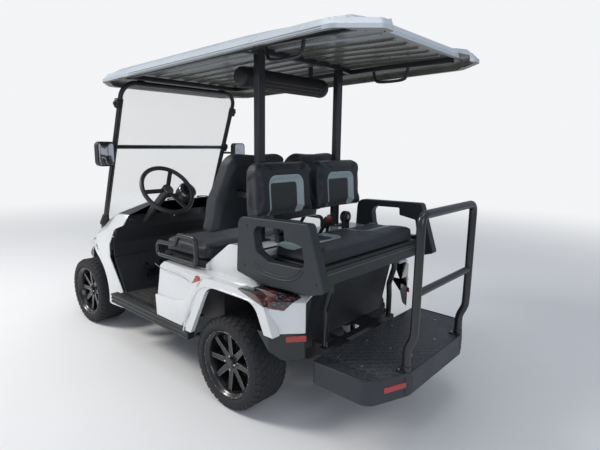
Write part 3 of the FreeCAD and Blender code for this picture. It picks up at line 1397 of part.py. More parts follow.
def build_front_seat():
    """Front seat base with its battery opening, cushion, two backs and hip restraints."""
    base = new_body("front_seat_base")
    block(base, rectangle("seat_base_back", "seat_base_front", "0 - seat_half_width",
                          "seat_half_width", "seat_base_round"), "seat_base_z", "seat_base_top")
    block(base, rectangle("battery_back - hatch_side", "battery_front + hatch_side",
                          "0 - battery_half - hatch_side", "battery_half + hatch_side",
                          "hatch_gap"), "seat_base_z - nick", "seat_base_top + nick",
          kind="Pocket")
    keep(base, "front_seat_base")

    cushion = new_body("front_cushion")
    block(cushion, rectangle("cushion_back", "cushion_front", "0 - cushion_half_width",
                             "cushion_half_width", "cushion_round"),
          "seat_base_top + seat_gap", "cushion_top")
    keep(cushion, "front_cushion")

    back = seat_back("front_back", "front_back_inner", "front_back_outer", "front_back_round")
    backs = both_sides(back, "front_seat_backs")

    points = [(row["along"], "restraint_y", row["up"]) for row in table_rows("restraint")]
    loop = tube("restraint_loop", points, "restraint_tube", "restraint_bend", closed=True)
    feet = []
    for spot, middle in enumerate(("restraint_along_1 - restraint_foot",
                                   "restraint_along_6 + restraint_foot")):
        feet.append(box(f"restraint_foot_{spot}", f"{middle} - restraint_foot_half",
                        f"{middle} + restraint_foot_half", "seat_half_width", "restraint_y",
                        "restraint_up_1 - restraint_foot_thick",
                        "restraint_up_1 + restraint_foot_thick"))
    both_sides(joined([loop] + feet, "restraint_left", "Part::MultiFuse"), "hip_restraints")
    return backs


def build_rear_seat(front_backs, solid):
    """Rear seat: tray on its feet, fold-over board and cushion, backs and armrests."""
    tray = new_body("rear_seat_tray")
    back_edge = "flip_x + bead_step"
    block(tray, rectangle(back_edge, "tray_front", "0 - tray_half_width", "tray_half_width"),
          "tray_z", "tray_top")
    block(tray, rectangle(f"{back_edge} + tray_wall", "tray_front - tray_wall",
                          "tray_wall - tray_half_width", "tray_half_width - tray_wall",
                          "tray_round"), "tray_z + tray_floor", "tray_top + nick",
          kind="Pocket")
    for low, high in (("tray_foot_inner", "tray_foot_outer"),
                      ("0 - tray_foot_outer", "0 - tray_foot_inner")):
        block(tray, rectangle("tray_foot_back", "tray_foot_front", low, high),
              "rear_section_deck_1", "tray_z + bead_step")
    keep(tray, "rear_seat_tray")

    board = new_body("rear_seat_board")
    board_back = "flip_x + flip_room"
    block(board, rectangle(board_back, f"{board_back} + board_depth", "0 - board_half_width",
                           "board_half_width", "board_round"),
          "tray_top + seat_gap", "flip_z")
    keep(board, "rear_seat_board")
    cushion = new_body("rear_cushion")
    block(cushion, rectangle(f"{board_back} + rear_cushion_back",
                             f"{board_back} + board_depth - rear_cushion_front",
                             "0 - rear_cushion_half_width", "rear_cushion_half_width",
                             "rear_cushion_round"), "flip_z", "flip_z + rear_cushion_thick")
    keep(cushion, "rear_cushion")

    back = seat_back("rear_back", "rear_back_inner", "rear_back_outer", "rear_back_round")
    both_sides(back, "rear_seat_backs")

    plates = []
    for name, side in (("left", 1), ("right", -1)):
        middle = f"{side} * post_y"
        arm = box(f"back_arm_{name}", "post_x + post_length / 2",
                  "front_back_along_2 - restraint_foot",
                  f"{middle} - back_arm_half", f"{middle} + back_arm_half", "back_arm_low",
                  "back_arm_high")
        plates.append(less(arm, front_backs, f"back_arm_{name}_cut"))
        levels = sorted((f"{side} * (rear_back_inner + back_plate_in)",
                         f"{side} * (rear_back_outer - back_plate_in)"), key=number)
        plates.append(box(f"back_plate_{name}", "rear_back_along_1", "post_x - post_length / 2",
                          *levels, "back_plate_low", "back_plate_high"))
    keep(joined(plates, "seat_back_brackets"), "seat_back_brackets")

    frame = prism("armrest_outer_form", outline("armrest"), "armrest_inner", "armrest_outer")
    window = prism("armrest_window_form", outline("armrest_window"), "armrest_inner - nick",
                   "armrest_outer + nick")
    both_sides(less(less(frame, window, "armrest_open"), solid, "armrest_left"),
               "rear_armrests")


def build_rear_step():
    """Footplate, grab bar, tubes under the rear seat and the sloping panel between them."""
    def plan(inset, front):
        right = [(front, f"0 - step_half_width + {inset}", "step_round_seat"),
                 (f"step_back + step_chamfer_x + {inset} / 5",
                  f"0 - step_half_width + {inset}", "step_round_front"),
                 (f"step_back + {inset}",
                  f"0 - step_half_width + step_chamfer_y + {inset} / 3", "step_round_back")]
        return right + [(x, f"0 - ({y})", r) for x, y, r in reversed(right)]

    step = new_body("footplate")
    block(step, plan("0", "step_front"), "step_top - step_drop", "step_top")
    block(step, plan("step_skirt", "step_front + nick"), "step_top - step_drop - nick",
          "step_top - step_skin", kind="Pocket")
    keep(step, "footplate")

    uprights = [("bar_foot_x", "step_top"), ("bar_foot_x", "bar_kink_low"),
                ("bar_upright_x", "bar_kink_high"), ("bar_upright_x", "bar_top_z")]
    points = [(x, "bar_y", z) for x, z in uprights]
    points += [(x, "0 - bar_y", z) for x, z in reversed(uprights)]
    hoop = tube("grab_hoop", points, "grab_tube", "grab_bend")
    cross = DOC.addObject("Part::Cylinder", "grab_cross")
    bind(cross, Radius="grab_tube - 2 * bead_step", Height="2 * bar_y")
    cross.Placement = Placement(Vector(), Rotation(Vector(1, 0, 0), 90))
    place(cross, "bar_upright_x", "bar_y", "bar_mid_z")
    keep(joined([hoop, cross], "grab_bar", "Part::MultiFuse"), "grab_bar")

    foot_x, back_x = "rear_axle_x + cross_member_ahead_1", "flip_x + brace_back"
    rail_top = "rail_high + rail_depth"
    points = [(back_x, "brace_y", "tray_z"), (back_x, "brace_y", "tray_z - brace_drop"),
              (f"{foot_x} + nick", "brace_y", "tray_z - brace_knee"),
              (foot_x, "brace_y", "tray_z - brace_knee - brace_drop"),
              (foot_x, "brace_y", rail_top)]
    both_sides(tube("brace_left", points, "brace_tube", "brace_bend"), "rear_seat_frame")

    panels = []
    for name, skin in (("outer", "0"), ("inner", "enclosure_skin")):
        front = f"tray_front - enclosure_front + {skin}"
        corners = [(front, f"tray_z + {skin}", "0"),
                   (f"flip_x + enclosure_top_x + {skin}", f"tray_z + {skin}", "0"),
                   (f"flip_x + enclosure_foot_x + {skin}", f"{rail_top} - {skin}", "0"),
                   (front, f"{rail_top} - {skin}", "0")]
        panels.append(prism(f"enclosure_{name}", corners, f"{skin} - enclosure_half_width",
                            f"enclosure_half_width - {skin}"))
    keep(less(*panels, "rear_enclosure"), "rear_enclosure")


def build_mirrors(shield):
    """Side mirrors on arms from the windshield posts."""
    head = new_body("mirror_head")
    block(head, rectangle("mirror_y - mirror_half_y", "mirror_y + mirror_half_y",
                          "mirror_z - mirror_half_z", "mirror_z + mirror_half_z",
                          "mirror_round"), "mirror_x - mirror_back", "mirror_x + mirror_front",
          "YZ")
    post_x = "(shield_foot_x - (mirror_z - shield_foot_z) * tan(shield_tilt * 1 deg))"
    points = [(post_x, "shield_half", "mirror_z"),
              ("mirror_x + bead_step", "mirror_y - mirror_reach", "mirror_z")]
    arm = tube("mirror_arm", points, "mirror_arm", "grip_bend")
    whole = joined([head, arm], "mirror_whole", "Part::MultiFuse")
    both_sides(less(whole, shield, "mirror_left"), "mirrors")


def check():
    """Stop if any object has failed or any sub-part is empty or invalid."""
    DOC.recompute()
    failed = [thing.Name for thing in DOC.Objects
              if "Invalid" in thing.State or "Error" in thing.State]
    for thing in NODES:
        if thing.Shape.isNull() or not thing.Shape.isValid() or not thing.Shape.Solids:
            failed.append(thing.Label)
    if failed:
        raise RuntimeError("failed: " + ", ".join(failed))


def main():
    """Build every sub-part, check it and write it out."""
    build_frame()
    build_floor()
    floor = DOC.getObjectsByLabel("floor_pan")[0]
    solid = build_rear_body()
    build_tail(solid)
    cowl = build_cowl()
    build_front(cowl)
    roof = build_roof()
    shield = build_windshield(cowl, roof)
    room = build_roof_rails()
    build_posts(solid, room, roof)
    build_steering()
    build_pedals(floor)
    build_running_gear()
    build_knuckles()
    build_wheels()
    backs = build_front_seat()
    build_rear_seat(backs, solid)
    build_rear_step()
    build_mirrors(shield)
    check()
    os.makedirs("parts", exist_ok=True)
    for thing in NODES:
        thing.Shape.exportStep(os.path.join("parts", f"{thing.Label}.step"))
        print(thing.Label, len(thing.Shape.Solids), round(thing.Shape.Volume / 1000))


main()
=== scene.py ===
import logging
import math
from dataclasses import dataclass, replace
from enum import Enum
from typing import Callable, Iterable, Optional, Sequence

import bmesh
import bpy
from mathutils import Matrix, Vector, noise


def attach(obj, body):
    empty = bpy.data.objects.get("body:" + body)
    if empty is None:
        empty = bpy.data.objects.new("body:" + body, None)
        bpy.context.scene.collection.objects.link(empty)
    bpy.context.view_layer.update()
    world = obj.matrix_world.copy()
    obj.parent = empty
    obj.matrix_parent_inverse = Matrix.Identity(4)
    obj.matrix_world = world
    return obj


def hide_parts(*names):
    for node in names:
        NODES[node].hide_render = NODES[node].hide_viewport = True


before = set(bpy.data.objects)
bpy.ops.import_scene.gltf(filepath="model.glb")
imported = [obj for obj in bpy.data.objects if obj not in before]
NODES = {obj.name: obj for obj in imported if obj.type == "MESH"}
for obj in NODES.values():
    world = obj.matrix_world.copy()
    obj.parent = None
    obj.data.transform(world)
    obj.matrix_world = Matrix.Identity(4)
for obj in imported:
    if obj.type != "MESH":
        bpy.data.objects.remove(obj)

LOG = logging.getLogger("golf_cart")
DUST_COLOUR = (0.36, 0.34, 0.30, 1.0)
COAT_ROUGHNESS = 0.06
NODE_WELD = 2e-5
SPIN_WELD = 1e-5
ROPE_WELD = 1e-6
SHADE_ANGLE = 38.0
PLATE_ANGLE = 50.0
ROUNDED_ANGLE = math.radians(32.0)
CORNER_STEPS = 5
INNER_CORNER = 0.35
SEAM_WIDTH = 0.004
PALE_BACKDROP = (0.90, 0.91, 0.92, 1)
TOWARDS_X = Matrix.Rotation(math.pi / 2, 4, "X")
Pair = tuple[float, float]
Triple = tuple[float, float, float]
Socket = bpy.types.NodeSocket
Sockets = dict[str, Socket]


class Graph:
    """Adds nodes to one node tree and joins their sockets."""

    def __init__(self, tree: bpy.types.NodeTree) -> None:
        """Keep the tree to add to."""
        self.tree = tree

    def feed(self, socket: Socket, value: object) -> None:
        """Link a socket or set a plain value.

        Args:
            socket: The input to fill.
            value: A socket, a plain value, or None to leave the input as it is.
        """
        if isinstance(value, bpy.types.NodeSocket):
            self.tree.links.new(value, socket)
        elif value is not None:
            socket.default_value = value

    def add(self, kind: str, inputs: Optional[dict] = None, **settings: object) -> bpy.types.Node:
        """Add a node.

        Args:
            kind: Node type name.
            inputs: Values or sockets by input name or number.
            settings: Properties of the node.

        Returns:
            The new node.
        """
        node = self.tree.nodes.new(kind)
        for name, value in settings.items():
            setattr(node, name, value)
        for name, value in (inputs or {}).items():
            self.feed(node.inputs[name], value)
        return node

    def math(self, operation: str, *values: object) -> Socket:
        """Output of a math node with the given operation and values."""
        return self.add("ShaderNodeMath", dict(enumerate(values)), operation=operation).outputs[0]

    def times(self, *values: object) -> Socket:
        """Product of two values."""
        return self.math("MULTIPLY", *values)

    def less(self, *values: object) -> Socket:
        """Difference of two values."""
        return self.math("SUBTRACT", *values)

    def above(self, *values: object) -> Socket:
        """One where the first value is above the second."""
        return self.math("GREATER_THAN", *values)

    def blend(self, factor: object, first: Sequence, second: Sequence) -> Socket:
        """Mix of two colours."""
        node = self.add("ShaderNodeMix", {0: factor, 6: first, 7: second}, data_type="RGBA")
        return node.outputs[2]

    def span(self, value: object, low: object, high: object, start: object = 0.0,
             end: object = 1.0) -> Socket:
        """Smooth step of a value, clamped.

        Args:
            value: The value to step.
            low: Level at which the step starts.
            high: Level at which it ends.
            start: Result at the low level.
            end: Result at the high level.

        Returns:
            The stepped value.
        """
        node = self.add("ShaderNodeMapRange", {0: value, 1: low, 2: high, 3: start, 4: end},
                        interpolation_type="SMOOTHSTEP")
        return node.outputs[0]

    def noise(self, vector: Socket, scale: object, detail: float = 3.0,
              roughness: float = 0.55) -> Socket:
        """Noise around one half, with its scale, detail and roughness."""
        return self.add("ShaderNodeTexNoise", {"Vector": vector, "Scale": scale, "Detail": detail,
                                               "Roughness": roughness}).outputs[0]

    def place(self) -> Socket:
        """Object coordinates."""
        return self.add("ShaderNodeTexCoord").outputs["Object"]

    def axes(self, vector: Socket) -> Sequence[Socket]:
        """X, Y and Z of a vector."""
        return self.add("ShaderNodeSeparateXYZ", {0: vector}).outputs

    def facing(self) -> Sequence[Socket]:
        """X, Y and Z of the surface's normal."""
        return self.axes(self.add("ShaderNodeNewGeometry").outputs["Normal"])


Fill = Callable[[Graph, Sockets], Sockets]


def group(name: str, inputs: dict[str, float], outputs: dict[str, str],
          fill: Fill) -> bpy.types.NodeTree:
    """A shader node group, built once and kept by name.

    Args:
        name: Name of the group.
        inputs: Default value of each float input.
        outputs: Socket type of each output.
        fill: Adds the nodes and returns the output sockets by name.

    Returns:
        The group's tree.
    """
    found = bpy.data.node_groups.get(name)
    if found:
        return found
    tree = bpy.data.node_groups.new(name, "ShaderNodeTree")
    for label, value in inputs.items():
        socket = tree.interface.new_socket(label, in_out="INPUT", socket_type="NodeSocketFloat")
        socket.default_value = value
    for label, kind in outputs.items():
        tree.interface.new_socket(label, in_out="OUTPUT", socket_type=kind)
    graph = Graph(tree)
    source = graph.add("NodeGroupInput")
    graph.add("NodeGroupOutput", fill(graph, {label: source.outputs[label] for label in inputs}))
    return tree


def broad_change(graph: Graph, given: Sockets) -> Sockets:
    """Cloudy change over a surface, and dust where it faces up.

    Args:
        graph: The tree's graph.
        given: Inputs of the group by name.

    Returns:
        Outputs of the group.
    """
    spot = graph.place()
    cloud = graph.noise(spot, given["Size"], 5.0, 0.6)
    fine = graph.noise(spot, 55.0, 3.0)
    settled = graph.times(graph.span(graph.facing()[2], 0.35, 0.95),
                          graph.span(fine, 0.35, 0.75))
    return {"Change": graph.span(cloud, 0.25, 0.75), "Dust": settled}


def plastic_grain(graph: Graph, given: Sockets) -> Sockets:
    """Fine spark-eroded grain of moulded plastic.

    Args:
        graph: The tree's graph.
        given: Inputs of the group by name.

    Returns:
        Outputs of the group.
    """
    spot = graph.place()
    cells = graph.add("ShaderNodeTexVoronoi", {"Vector": spot, "Scale": given["Size"]})
    fine = graph.noise(spot, graph.times(given["Size"], 2.3), 2.0)
    return {"Height": graph.math("MULTIPLY_ADD", fine, 0.5, cells.outputs["Distance"])}


def leather_grain(graph: Graph, given: Sockets) -> Sockets:
    """Pebbled vinyl with soft creases between the pebbles.

    Args:
        graph: The tree's graph.
        given: Inputs of the group by name.

    Returns:
        Outputs of the group.
    """
    spot = graph.place()
    bend = graph.add("ShaderNodeTexNoise", {"Vector": spot, "Scale": 60.0})
    moved = graph.add("ShaderNodeVectorMath", {0: bend.outputs["Color"], 1: (0.02, 0.02, 0.02),
                                               2: spot}, operation="MULTIPLY_ADD")
    cells = graph.add("ShaderNodeTexVoronoi", {"Vector": moved.outputs[0],
                                               "Scale": given["Size"]},
                      feature="DISTANCE_TO_EDGE")
    return {"Height": graph.span(cells.outputs["Distance"], 0.0, 0.35)}


def orange_peel(graph: Graph, given: Sockets) -> Sockets:
    """Faint waviness of sprayed paint."""
    return {"Height": graph.noise(graph.place(), given["Size"], 2.0)}


def brushed_lines(graph: Graph, given: Sockets) -> Sockets:
    """Fine marks drawn out along the cart and upwards.

    Args:
        graph: The tree's graph.
        given: Inputs of the group by name.

    Returns:
        Outputs of the group.
    """
    drawn = graph.add("ShaderNodeVectorMath", {0: graph.place(), 1: (1.0, 14.0, 1.0)},
                      operation="MULTIPLY")
    return {"Height": graph.noise(drawn.outputs[0], given["Size"], 4.0, 0.7)}


def rubber_skin(graph: Graph, given: Sockets) -> Sockets:
    """Dull skin of tyre rubber with scuffs.

    Args:
        graph: The tree's graph.
        given: Inputs of the group by name.

    Returns:
        Outputs of the group.
    """
    spot = graph.place()
    fine = graph.noise(spot, given["Size"], 4.0, 0.7)
    return {"Height": graph.math("MULTIPLY_ADD", graph.noise(spot, 38.0, 6.0, 0.7), 0.6, fine)}


class Grain(Enum):
    """Small-scale relief of a finish."""

    PLASTIC = "plastic_grain"
    LEATHER = "leather_grain"
    PAINT = "orange_peel"
    BRUSHED = "brushed_lines"
    RUBBER = "rubber_skin"


FILLS: dict[Grain, Fill] = {
    Grain.PLASTIC: plastic_grain, Grain.LEATHER: leather_grain, Grain.PAINT: orange_peel,
    Grain.BRUSHED: brushed_lines, Grain.RUBBER: rubber_skin}


@dataclass(frozen=True)
class Finish:
    """A material built from the shared groups.

    The slot is the name of a material slot; nothing here puts a piece in it. The colour is the
    middle one; mottle is how far it strays, dust how much pale dust lies on faces that look up,
    depth the relief of the grain in metres.
    """

    label: str
    slot: str
    colour: Triple
    roughness: float
    grain: Grain = Grain.PLASTIC
    size: float = 900.0
    depth: float = 0.0002
    metallic: float = 0.0
    coat: float = 0.0
    mottle: float = 0.18
    cloud: float = 5.0
    dust: float = 0.12
    sheen: float = 0.0

    def material(self) -> bpy.types.Material:
        """The material, made at its first use.

        Returns:
            The material.
        """
        found = bpy.data.materials.get(self.label)
        if found:
            return found
        made = bpy.data.materials.new(self.label)
        made.use_nodes = True
        made.diffuse_color = (*self.colour, 1.0)
        shader = made.node_tree.nodes["Principled BSDF"]
        for name, value in (("Metallic", self.metallic), ("Coat Weight", self.coat),
                            ("Coat Roughness", COAT_ROUGHNESS), ("Sheen Weight", self.sheen)):
            shader.inputs[name].default_value = value
        self.dress(Graph(made.node_tree), shader)
        return made

    def change(self, graph: Graph) -> bpy.types.Node:
        """The cloudy change and dust group of this finish.

        Args:
            graph: The tree's graph.

        Returns:
            The group node.
        """
        tree = group("broad_change", {"Size": 4.0},
                     {"Change": "NodeSocketFloat", "Dust": "NodeSocketFloat"}, broad_change)
        return graph.add("ShaderNodeGroup", {"Size": self.cloud}, node_tree=tree)

    def tinted(self, graph: Graph, colour: Triple, darker: float, lighter: float) -> Socket:
        """A colour that strays with the cloudy change.

        Args:
            graph: The material's graph.
            colour: Middle colour.
            darker: Factor of its dark places.
            lighter: Factor of its light places.

        Returns:
            The colour.
        """
        dark = tuple(c * darker for c in colour)
        light = tuple(min(1.0, c * lighter) for c in colour)
        return graph.blend(self.change(graph).outputs["Change"], (*dark, 1), (*light, 1))

    def paint(self, graph: Graph) -> Socket:
        """Base colour before the dust."""
        return self.tinted(graph, self.colour, 1 - self.mottle, 1 + self.mottle)

    def relief(self, graph: Graph) -> Socket:
        """Height for the bump, in metres.

        Args:
            graph: The tree's graph.

        Returns:
            The height.
        """
        tree = group(self.grain.value, {"Size": 500.0}, {"Height": "NodeSocketFloat"},
                     FILLS[self.grain])
        node = graph.add("ShaderNodeGroup", {"Size": self.size}, node_tree=tree)
        return graph.times(node.outputs["Height"], self.depth)

    def dress(self, graph: Graph, shader: bpy.types.Node) -> None:
        """Feed the shader's colour, roughness and normal.

        Args:
            graph: The material's graph.
            shader: Its Principled shader.
        """
        change = self.change(graph)
        dust = graph.times(change.outputs["Dust"], self.dust)
        rough = graph.span(change.outputs["Change"], 0.0, 1.0, self.roughness * 0.88,
                           min(1.0, self.roughness * 1.12))
        bump = graph.add("ShaderNodeBump", {"Height": self.relief(graph), "Strength": 1.0,
                                            "Distance": 1.0})
        graph.feed(shader.inputs["Base Color"], graph.blend(dust, self.paint(graph), DUST_COLOUR))
        graph.feed(shader.inputs["Roughness"], graph.math("MAXIMUM", rough, graph.times(dust, 2.0)))
        graph.feed(shader.inputs["Normal"], bump.outputs[0])


@dataclass(frozen=True)
class Glass(Finish):
    """Clear sheet with plain transmission."""

    index: float = 1.45

    def dress(self, graph: Graph, shader: bpy.types.Node) -> None:
        """Plain transmission, with faint smears in the roughness.

        Args:
            graph: The material's graph.
            shader: Its Principled shader.
        """
        shader.inputs["Transmission Weight"].default_value = 1.0
        shader.inputs["IOR"].default_value = self.index
        shader.inputs["Base Color"].default_value = (*self.colour, 1)
        smear = self.change(graph).outputs["Change"]
        graph.feed(shader.inputs["Roughness"],
                   graph.span(smear, 0.3, 1.0, self.roughness, self.roughness + 0.05))


@dataclass(frozen=True)
class RoofShell(Finish):
    """Glossy pale roof outside; faces that look down and the recess walls take a dark olive-grey,
    painted shade with a painted green bounce.
    """

    # under: painted shade colour, dark olive-grey, for faces that look down and the recess walls
    under: Triple = (0.135, 0.138, 0.118)
    middle: float = -0.3

    def paint(self, graph: Graph) -> Socket:
        """Pale on faces that look out or up, the painted shade colour elsewhere.

        Args:
            graph: The tree's graph.

        Returns:
            The colour.
        """
        outside = super().paint(graph)
        # painted shade: dark olive-grey for faces that look down and the recess walls
        painted_shade_below = self.tinted(graph, self.under, 0.8, 1.25)
        normal = graph.facing()
        spot = graph.axes(graph.place())
        ahead = graph.times(graph.less(spot[0], self.middle), normal[0])
        outward = graph.math("MULTIPLY_ADD", spot[1], normal[1], ahead)
        shown = graph.math("MAXIMUM", graph.above(outward, 0.12), graph.above(normal[2], 0.2))
        return graph.blend(graph.times(shown, graph.above(normal[2], -0.5)), painted_shade_below, outside)


@dataclass(frozen=True)
class BodyShell(Finish):
    """Painted moulding whose faces that look inwards or down take a near-black painted shade."""

    # painted shade: near-black colour for faces that look inwards or down
    painted_shade: Triple = (0.020, 0.022, 0.024)

    def paint(self, graph: Graph) -> Socket:
        """Paint outside, near-black painted shade on faces that look inwards or down.

        Args:
            graph: The tree's graph.

        Returns:
            The colour.
        """
        normal = graph.facing()
        across = graph.axes(graph.place())[1]
        sideways = graph.times(graph.math("SIGN", across), normal[1])
        wide = graph.above(graph.math("ABSOLUTE", across), 0.3)
        inward = graph.times(graph.math("LESS_THAN", sideways, -0.4), wide)
        # faces that look down, and faces that look inwards away from the middle, get the painted
        # shade
        hidden = graph.math("MAXIMUM", inward, graph.math("LESS_THAN", normal[2], -0.7))
        return graph.blend(hidden, super().paint(graph), (*self.painted_shade, 1))


@dataclass(frozen=True)
class TreadPlate(Finish):
    """Plastic deck with rows of short raised bars, smooth towards its sides."""

    rate: float = 260.0
    height: float = 0.0012
    worn: Triple = (0.12, 0.125, 0.13)
    half: float = 0.40

    def bars(self, graph: Graph) -> Socket:
        """Raised bars, turned both ways by turns, on faces that look up.

        Args:
            graph: The tree's graph.

        Returns:
            Mask of the bars.
        """
        x, y, _ = graph.axes(graph.place())
        waves = [graph.math("SINE", graph.times(value, rate)) for value, rate in (
            (graph.math("ADD", x, y), self.rate), (graph.less(x, y), self.rate / 2),
            (graph.less(x, y), self.rate))]
        bars = graph.math("MAXIMUM", graph.times(waves[0], waves[1]),
                          graph.times(waves[2], graph.times(waves[1], -1.0)))
        edge = graph.span(graph.math("ABSOLUTE", y), self.half, self.half - 0.005)
        up = graph.span(graph.facing()[2], 0.9, 0.99)
        return graph.times(graph.times(graph.span(bars, 0.25, 0.6), up), edge)

    def paint(self, graph: Graph) -> Socket:
        """Deck colour, a little paler on the worn tops of the bars."""
        return graph.blend(graph.times(self.bars(graph), 0.35), super().paint(graph),
                           (*self.worn, 1))

    def relief(self, graph: Graph) -> Socket:
        """Bars over the grain."""
        return graph.math("MULTIPLY_ADD", self.bars(graph), self.height, super().relief(graph))


@dataclass(frozen=True)
class LampLens(Finish):
    """Smoked lens over red patches, with clearer cells painted pale as painted glints."""

    smoked: Triple = (0.008, 0.009, 0.014)
    patches: Triple = (0.075, 0.010, 0.009)
    # clear: colour of the painted glints in the cells
    clear: Triple = (0.20, 0.18, 0.20)
    cells: float = 70.0

    def paint(self, graph: Graph) -> Socket:
        """Dark with red patches, and pale cells, brightest at their middles, as painted glints.

        Args:
            graph: The tree's graph.

        Returns:
            The colour.
        """
        spot = graph.place()
        cells = graph.add("ShaderNodeTexVoronoi", {"Vector": spot, "Scale": self.cells})
        # painted glints: paler towards each cell's middle, in noisy patches
        glint_falloff = graph.span(cells.outputs["Distance"], 0.1, 0.6, 0.5, 0.0)
        painted_glint = graph.times(glint_falloff, graph.span(graph.noise(spot, 16.0, 2.0), 0.50, 0.62))
        red = graph.blend(graph.span(graph.noise(spot, 15.0, 1.0), 0.44, 0.56),
                          (*self.smoked, 1), (*self.patches, 1))
        return graph.blend(painted_glint, red, (*self.clear, 1))


def panel_field(across: float, along: float, half: float, end: float, radius: float) -> float:
    """Distance to a half-open rounded panel: negative inside.

    Args:
        across: Distance from the panel's middle line.
        along: Place along it; the panel is open towards lower values.
        half: Half width of the panel.
        end: Its closed end.
        radius: Rounding of the closed end's corners.

    Returns:
        Signed distance in metres.
    """
    side = abs(across) - (half - radius)
    top = along - (end - radius)
    outside = math.hypot(max(side, 0.0), max(top, 0.0))
    return outside + min(max(side, top), 0.0) - radius


def panel_nodes(graph: Graph, given: Sockets) -> Sockets:
    """The same distance in nodes, as masks of a seat's band, panel and seams.

    Args:
        graph: The tree's graph.
        given: Inputs of the group by name.

    Returns:
        Outputs of the group.
    """
    def field(across: Socket, half: Socket, end: Socket, radius: Socket) -> Socket:
        """Signed distance to one outline.

        Args:
            across: Distance from the middle line.
            half: Half width of the panel.
            end: Closed end of the panel.
            radius: Rounding of its corners.

        Returns:
            The distance.
        """
        side = graph.less(graph.math("ABSOLUTE", across), graph.less(half, radius))
        top = graph.less(given["Along"], graph.less(end, radius))
        wide = graph.math("MAXIMUM", side, 0.0)
        tall = graph.math("MAXIMUM", top, 0.0)
        out = graph.math("SQRT", graph.math("ADD", graph.times(wide, wide),
                                            graph.times(tall, tall)))
        within = graph.math("MINIMUM", graph.math("MAXIMUM", side, top), 0.0)
        return graph.less(graph.math("ADD", out, within), radius)

    outer = field(given["Across"], given["Half"], given["End"], given["Corner"])
    inner = field(graph.less(given["Across"], given["Shift"]),
                  graph.less(given["Half"], given["Side band"]),
                  graph.less(given["End"], given["End band"]),
                  graph.times(given["Corner"], INNER_CORNER))
    band = graph.times(graph.math("LESS_THAN", outer, 0.0), graph.above(inner, 0.0))
    seam = graph.math("MINIMUM", graph.math("ABSOLUTE", outer), graph.math("ABSOLUTE", inner))
    return {"Band": band, "Panel": graph.math("LESS_THAN", inner, 0.0),
            "Seam": graph.span(seam, 0.0, SEAM_WIDTH)}


@dataclass(frozen=True)
class Stripe:
    """Where a seat's pale band and dark panel lie, in metres.

    An upright stripe follows Z and a lying one minus X; both close at their end. The inner
    outline is shifted to the cart's left, so the band is narrower on that side.
    """

    middle: float
    half: float
    end: float
    corner: float
    side_band: float
    end_band: float
    upright: bool
    facing: float
    slope: float
    shift: float = 0.0

    def fields(self, spot: Vector) -> Pair:
        """Distances of a point to the band's outer and inner outlines.

        Args:
            spot: The point.

        Returns:
            Outer and inner distance.
        """
        off = abs(spot.y) - self.middle
        across = math.copysign(off, off * spot.y)
        place = spot.z if self.upright else -spot.x
        outer = panel_field(across, place, self.half, self.end, self.corner)
        inner = panel_field(across - self.shift, place, self.half - self.side_band,
                            self.end - self.end_band, self.corner * INNER_CORNER)
        return outer, inner


@dataclass(frozen=True)
class SeatVinyl(Finish):
    """Black vinyl with a pale sewn band round a patterned panel."""

    stripe: Optional[Stripe] = None
    pale: Triple = (0.36, 0.44, 0.45)
    lines: Triple = (0.011, 0.013, 0.014)
    fields: Triple = (0.034, 0.040, 0.040)
    rate: float = 300.0
    quilt: float = 0.0012
    stitch: float = 0.002

    def zones(self, graph: Graph) -> Sockets:
        """Masks of the band, the panel, the seams and the front side.

        Args:
            graph: The tree's graph.

        Returns:
            The masks by name.
        """
        stripe = self.stripe
        spot = graph.axes(graph.place())
        off = graph.less(graph.math("ABSOLUTE", spot[1]), stripe.middle)
        values = {"Across": graph.times(off, graph.math("SIGN", spot[1])),
                  "Along": spot[2] if stripe.upright else graph.times(spot[0], -1.0),
                  "Half": stripe.half, "End": stripe.end, "Corner": stripe.corner,
                  "Side band": stripe.side_band, "End band": stripe.end_band,
                  "Shift": stripe.shift}
        tree = group("seat_panel", {name: 0.0 for name in values},
                     {name: "NodeSocketFloat" for name in ("Band", "Panel", "Seam")},
                     panel_nodes)
        made = graph.add("ShaderNodeGroup", values, node_tree=tree).outputs
        towards = graph.facing()[0 if stripe.upright else 2]
        front = graph.span(graph.times(towards, stripe.facing), 0.05, 0.25)
        return {"band": graph.times(made["Band"], front), "front": front,
                "panel": graph.times(made["Panel"], front), "seam": made["Seam"]}

    def diamonds(self, graph: Graph) -> Socket:
        """Crossed diagonal lines of the panel's pattern.

        Args:
            graph: The tree's graph.

        Returns:
            Mask of the lines.
        """
        spot = graph.axes(graph.place())
        along = spot[2] if self.stripe.upright else spot[0]
        lines = []
        for sign in (1.0, -1.0):
            turned = graph.math("MULTIPLY_ADD", spot[1], sign, along)
            wave = graph.math("SINE", graph.times(turned, self.rate))
            lines.append(graph.math("ABSOLUTE", wave))
        return graph.span(graph.math("MINIMUM", *lines), 0.05, 0.35)

    def paint(self, graph: Graph) -> Socket:
        """Black, panel and band colours.

        Args:
            graph: The tree's graph.

        Returns:
            The colour.
        """
        base = super().paint(graph)
        if self.stripe is None:
            return base
        zones = self.zones(graph)
        pattern = graph.blend(self.diamonds(graph), (*self.lines, 1), (*self.fields, 1))
        with_panel = graph.blend(zones["panel"], base, pattern)
        return graph.blend(zones["band"], with_panel, (*self.pale, 1))

    def relief(self, graph: Graph) -> Socket:
        """Grain, with sunk seams round the band and quilting in the panel.

        Args:
            graph: The tree's graph.

        Returns:
            The height.
        """
        grain = super().relief(graph)
        if self.stripe is None:
            return grain
        zones = self.zones(graph)
        quilt = graph.times(graph.times(self.diamonds(graph), zones["panel"]), self.quilt)
        sunk = graph.times(graph.times(zones["seam"], zones["front"]), self.stitch)
        return graph.math("ADD", graph.math("ADD", grain, quilt), sunk)


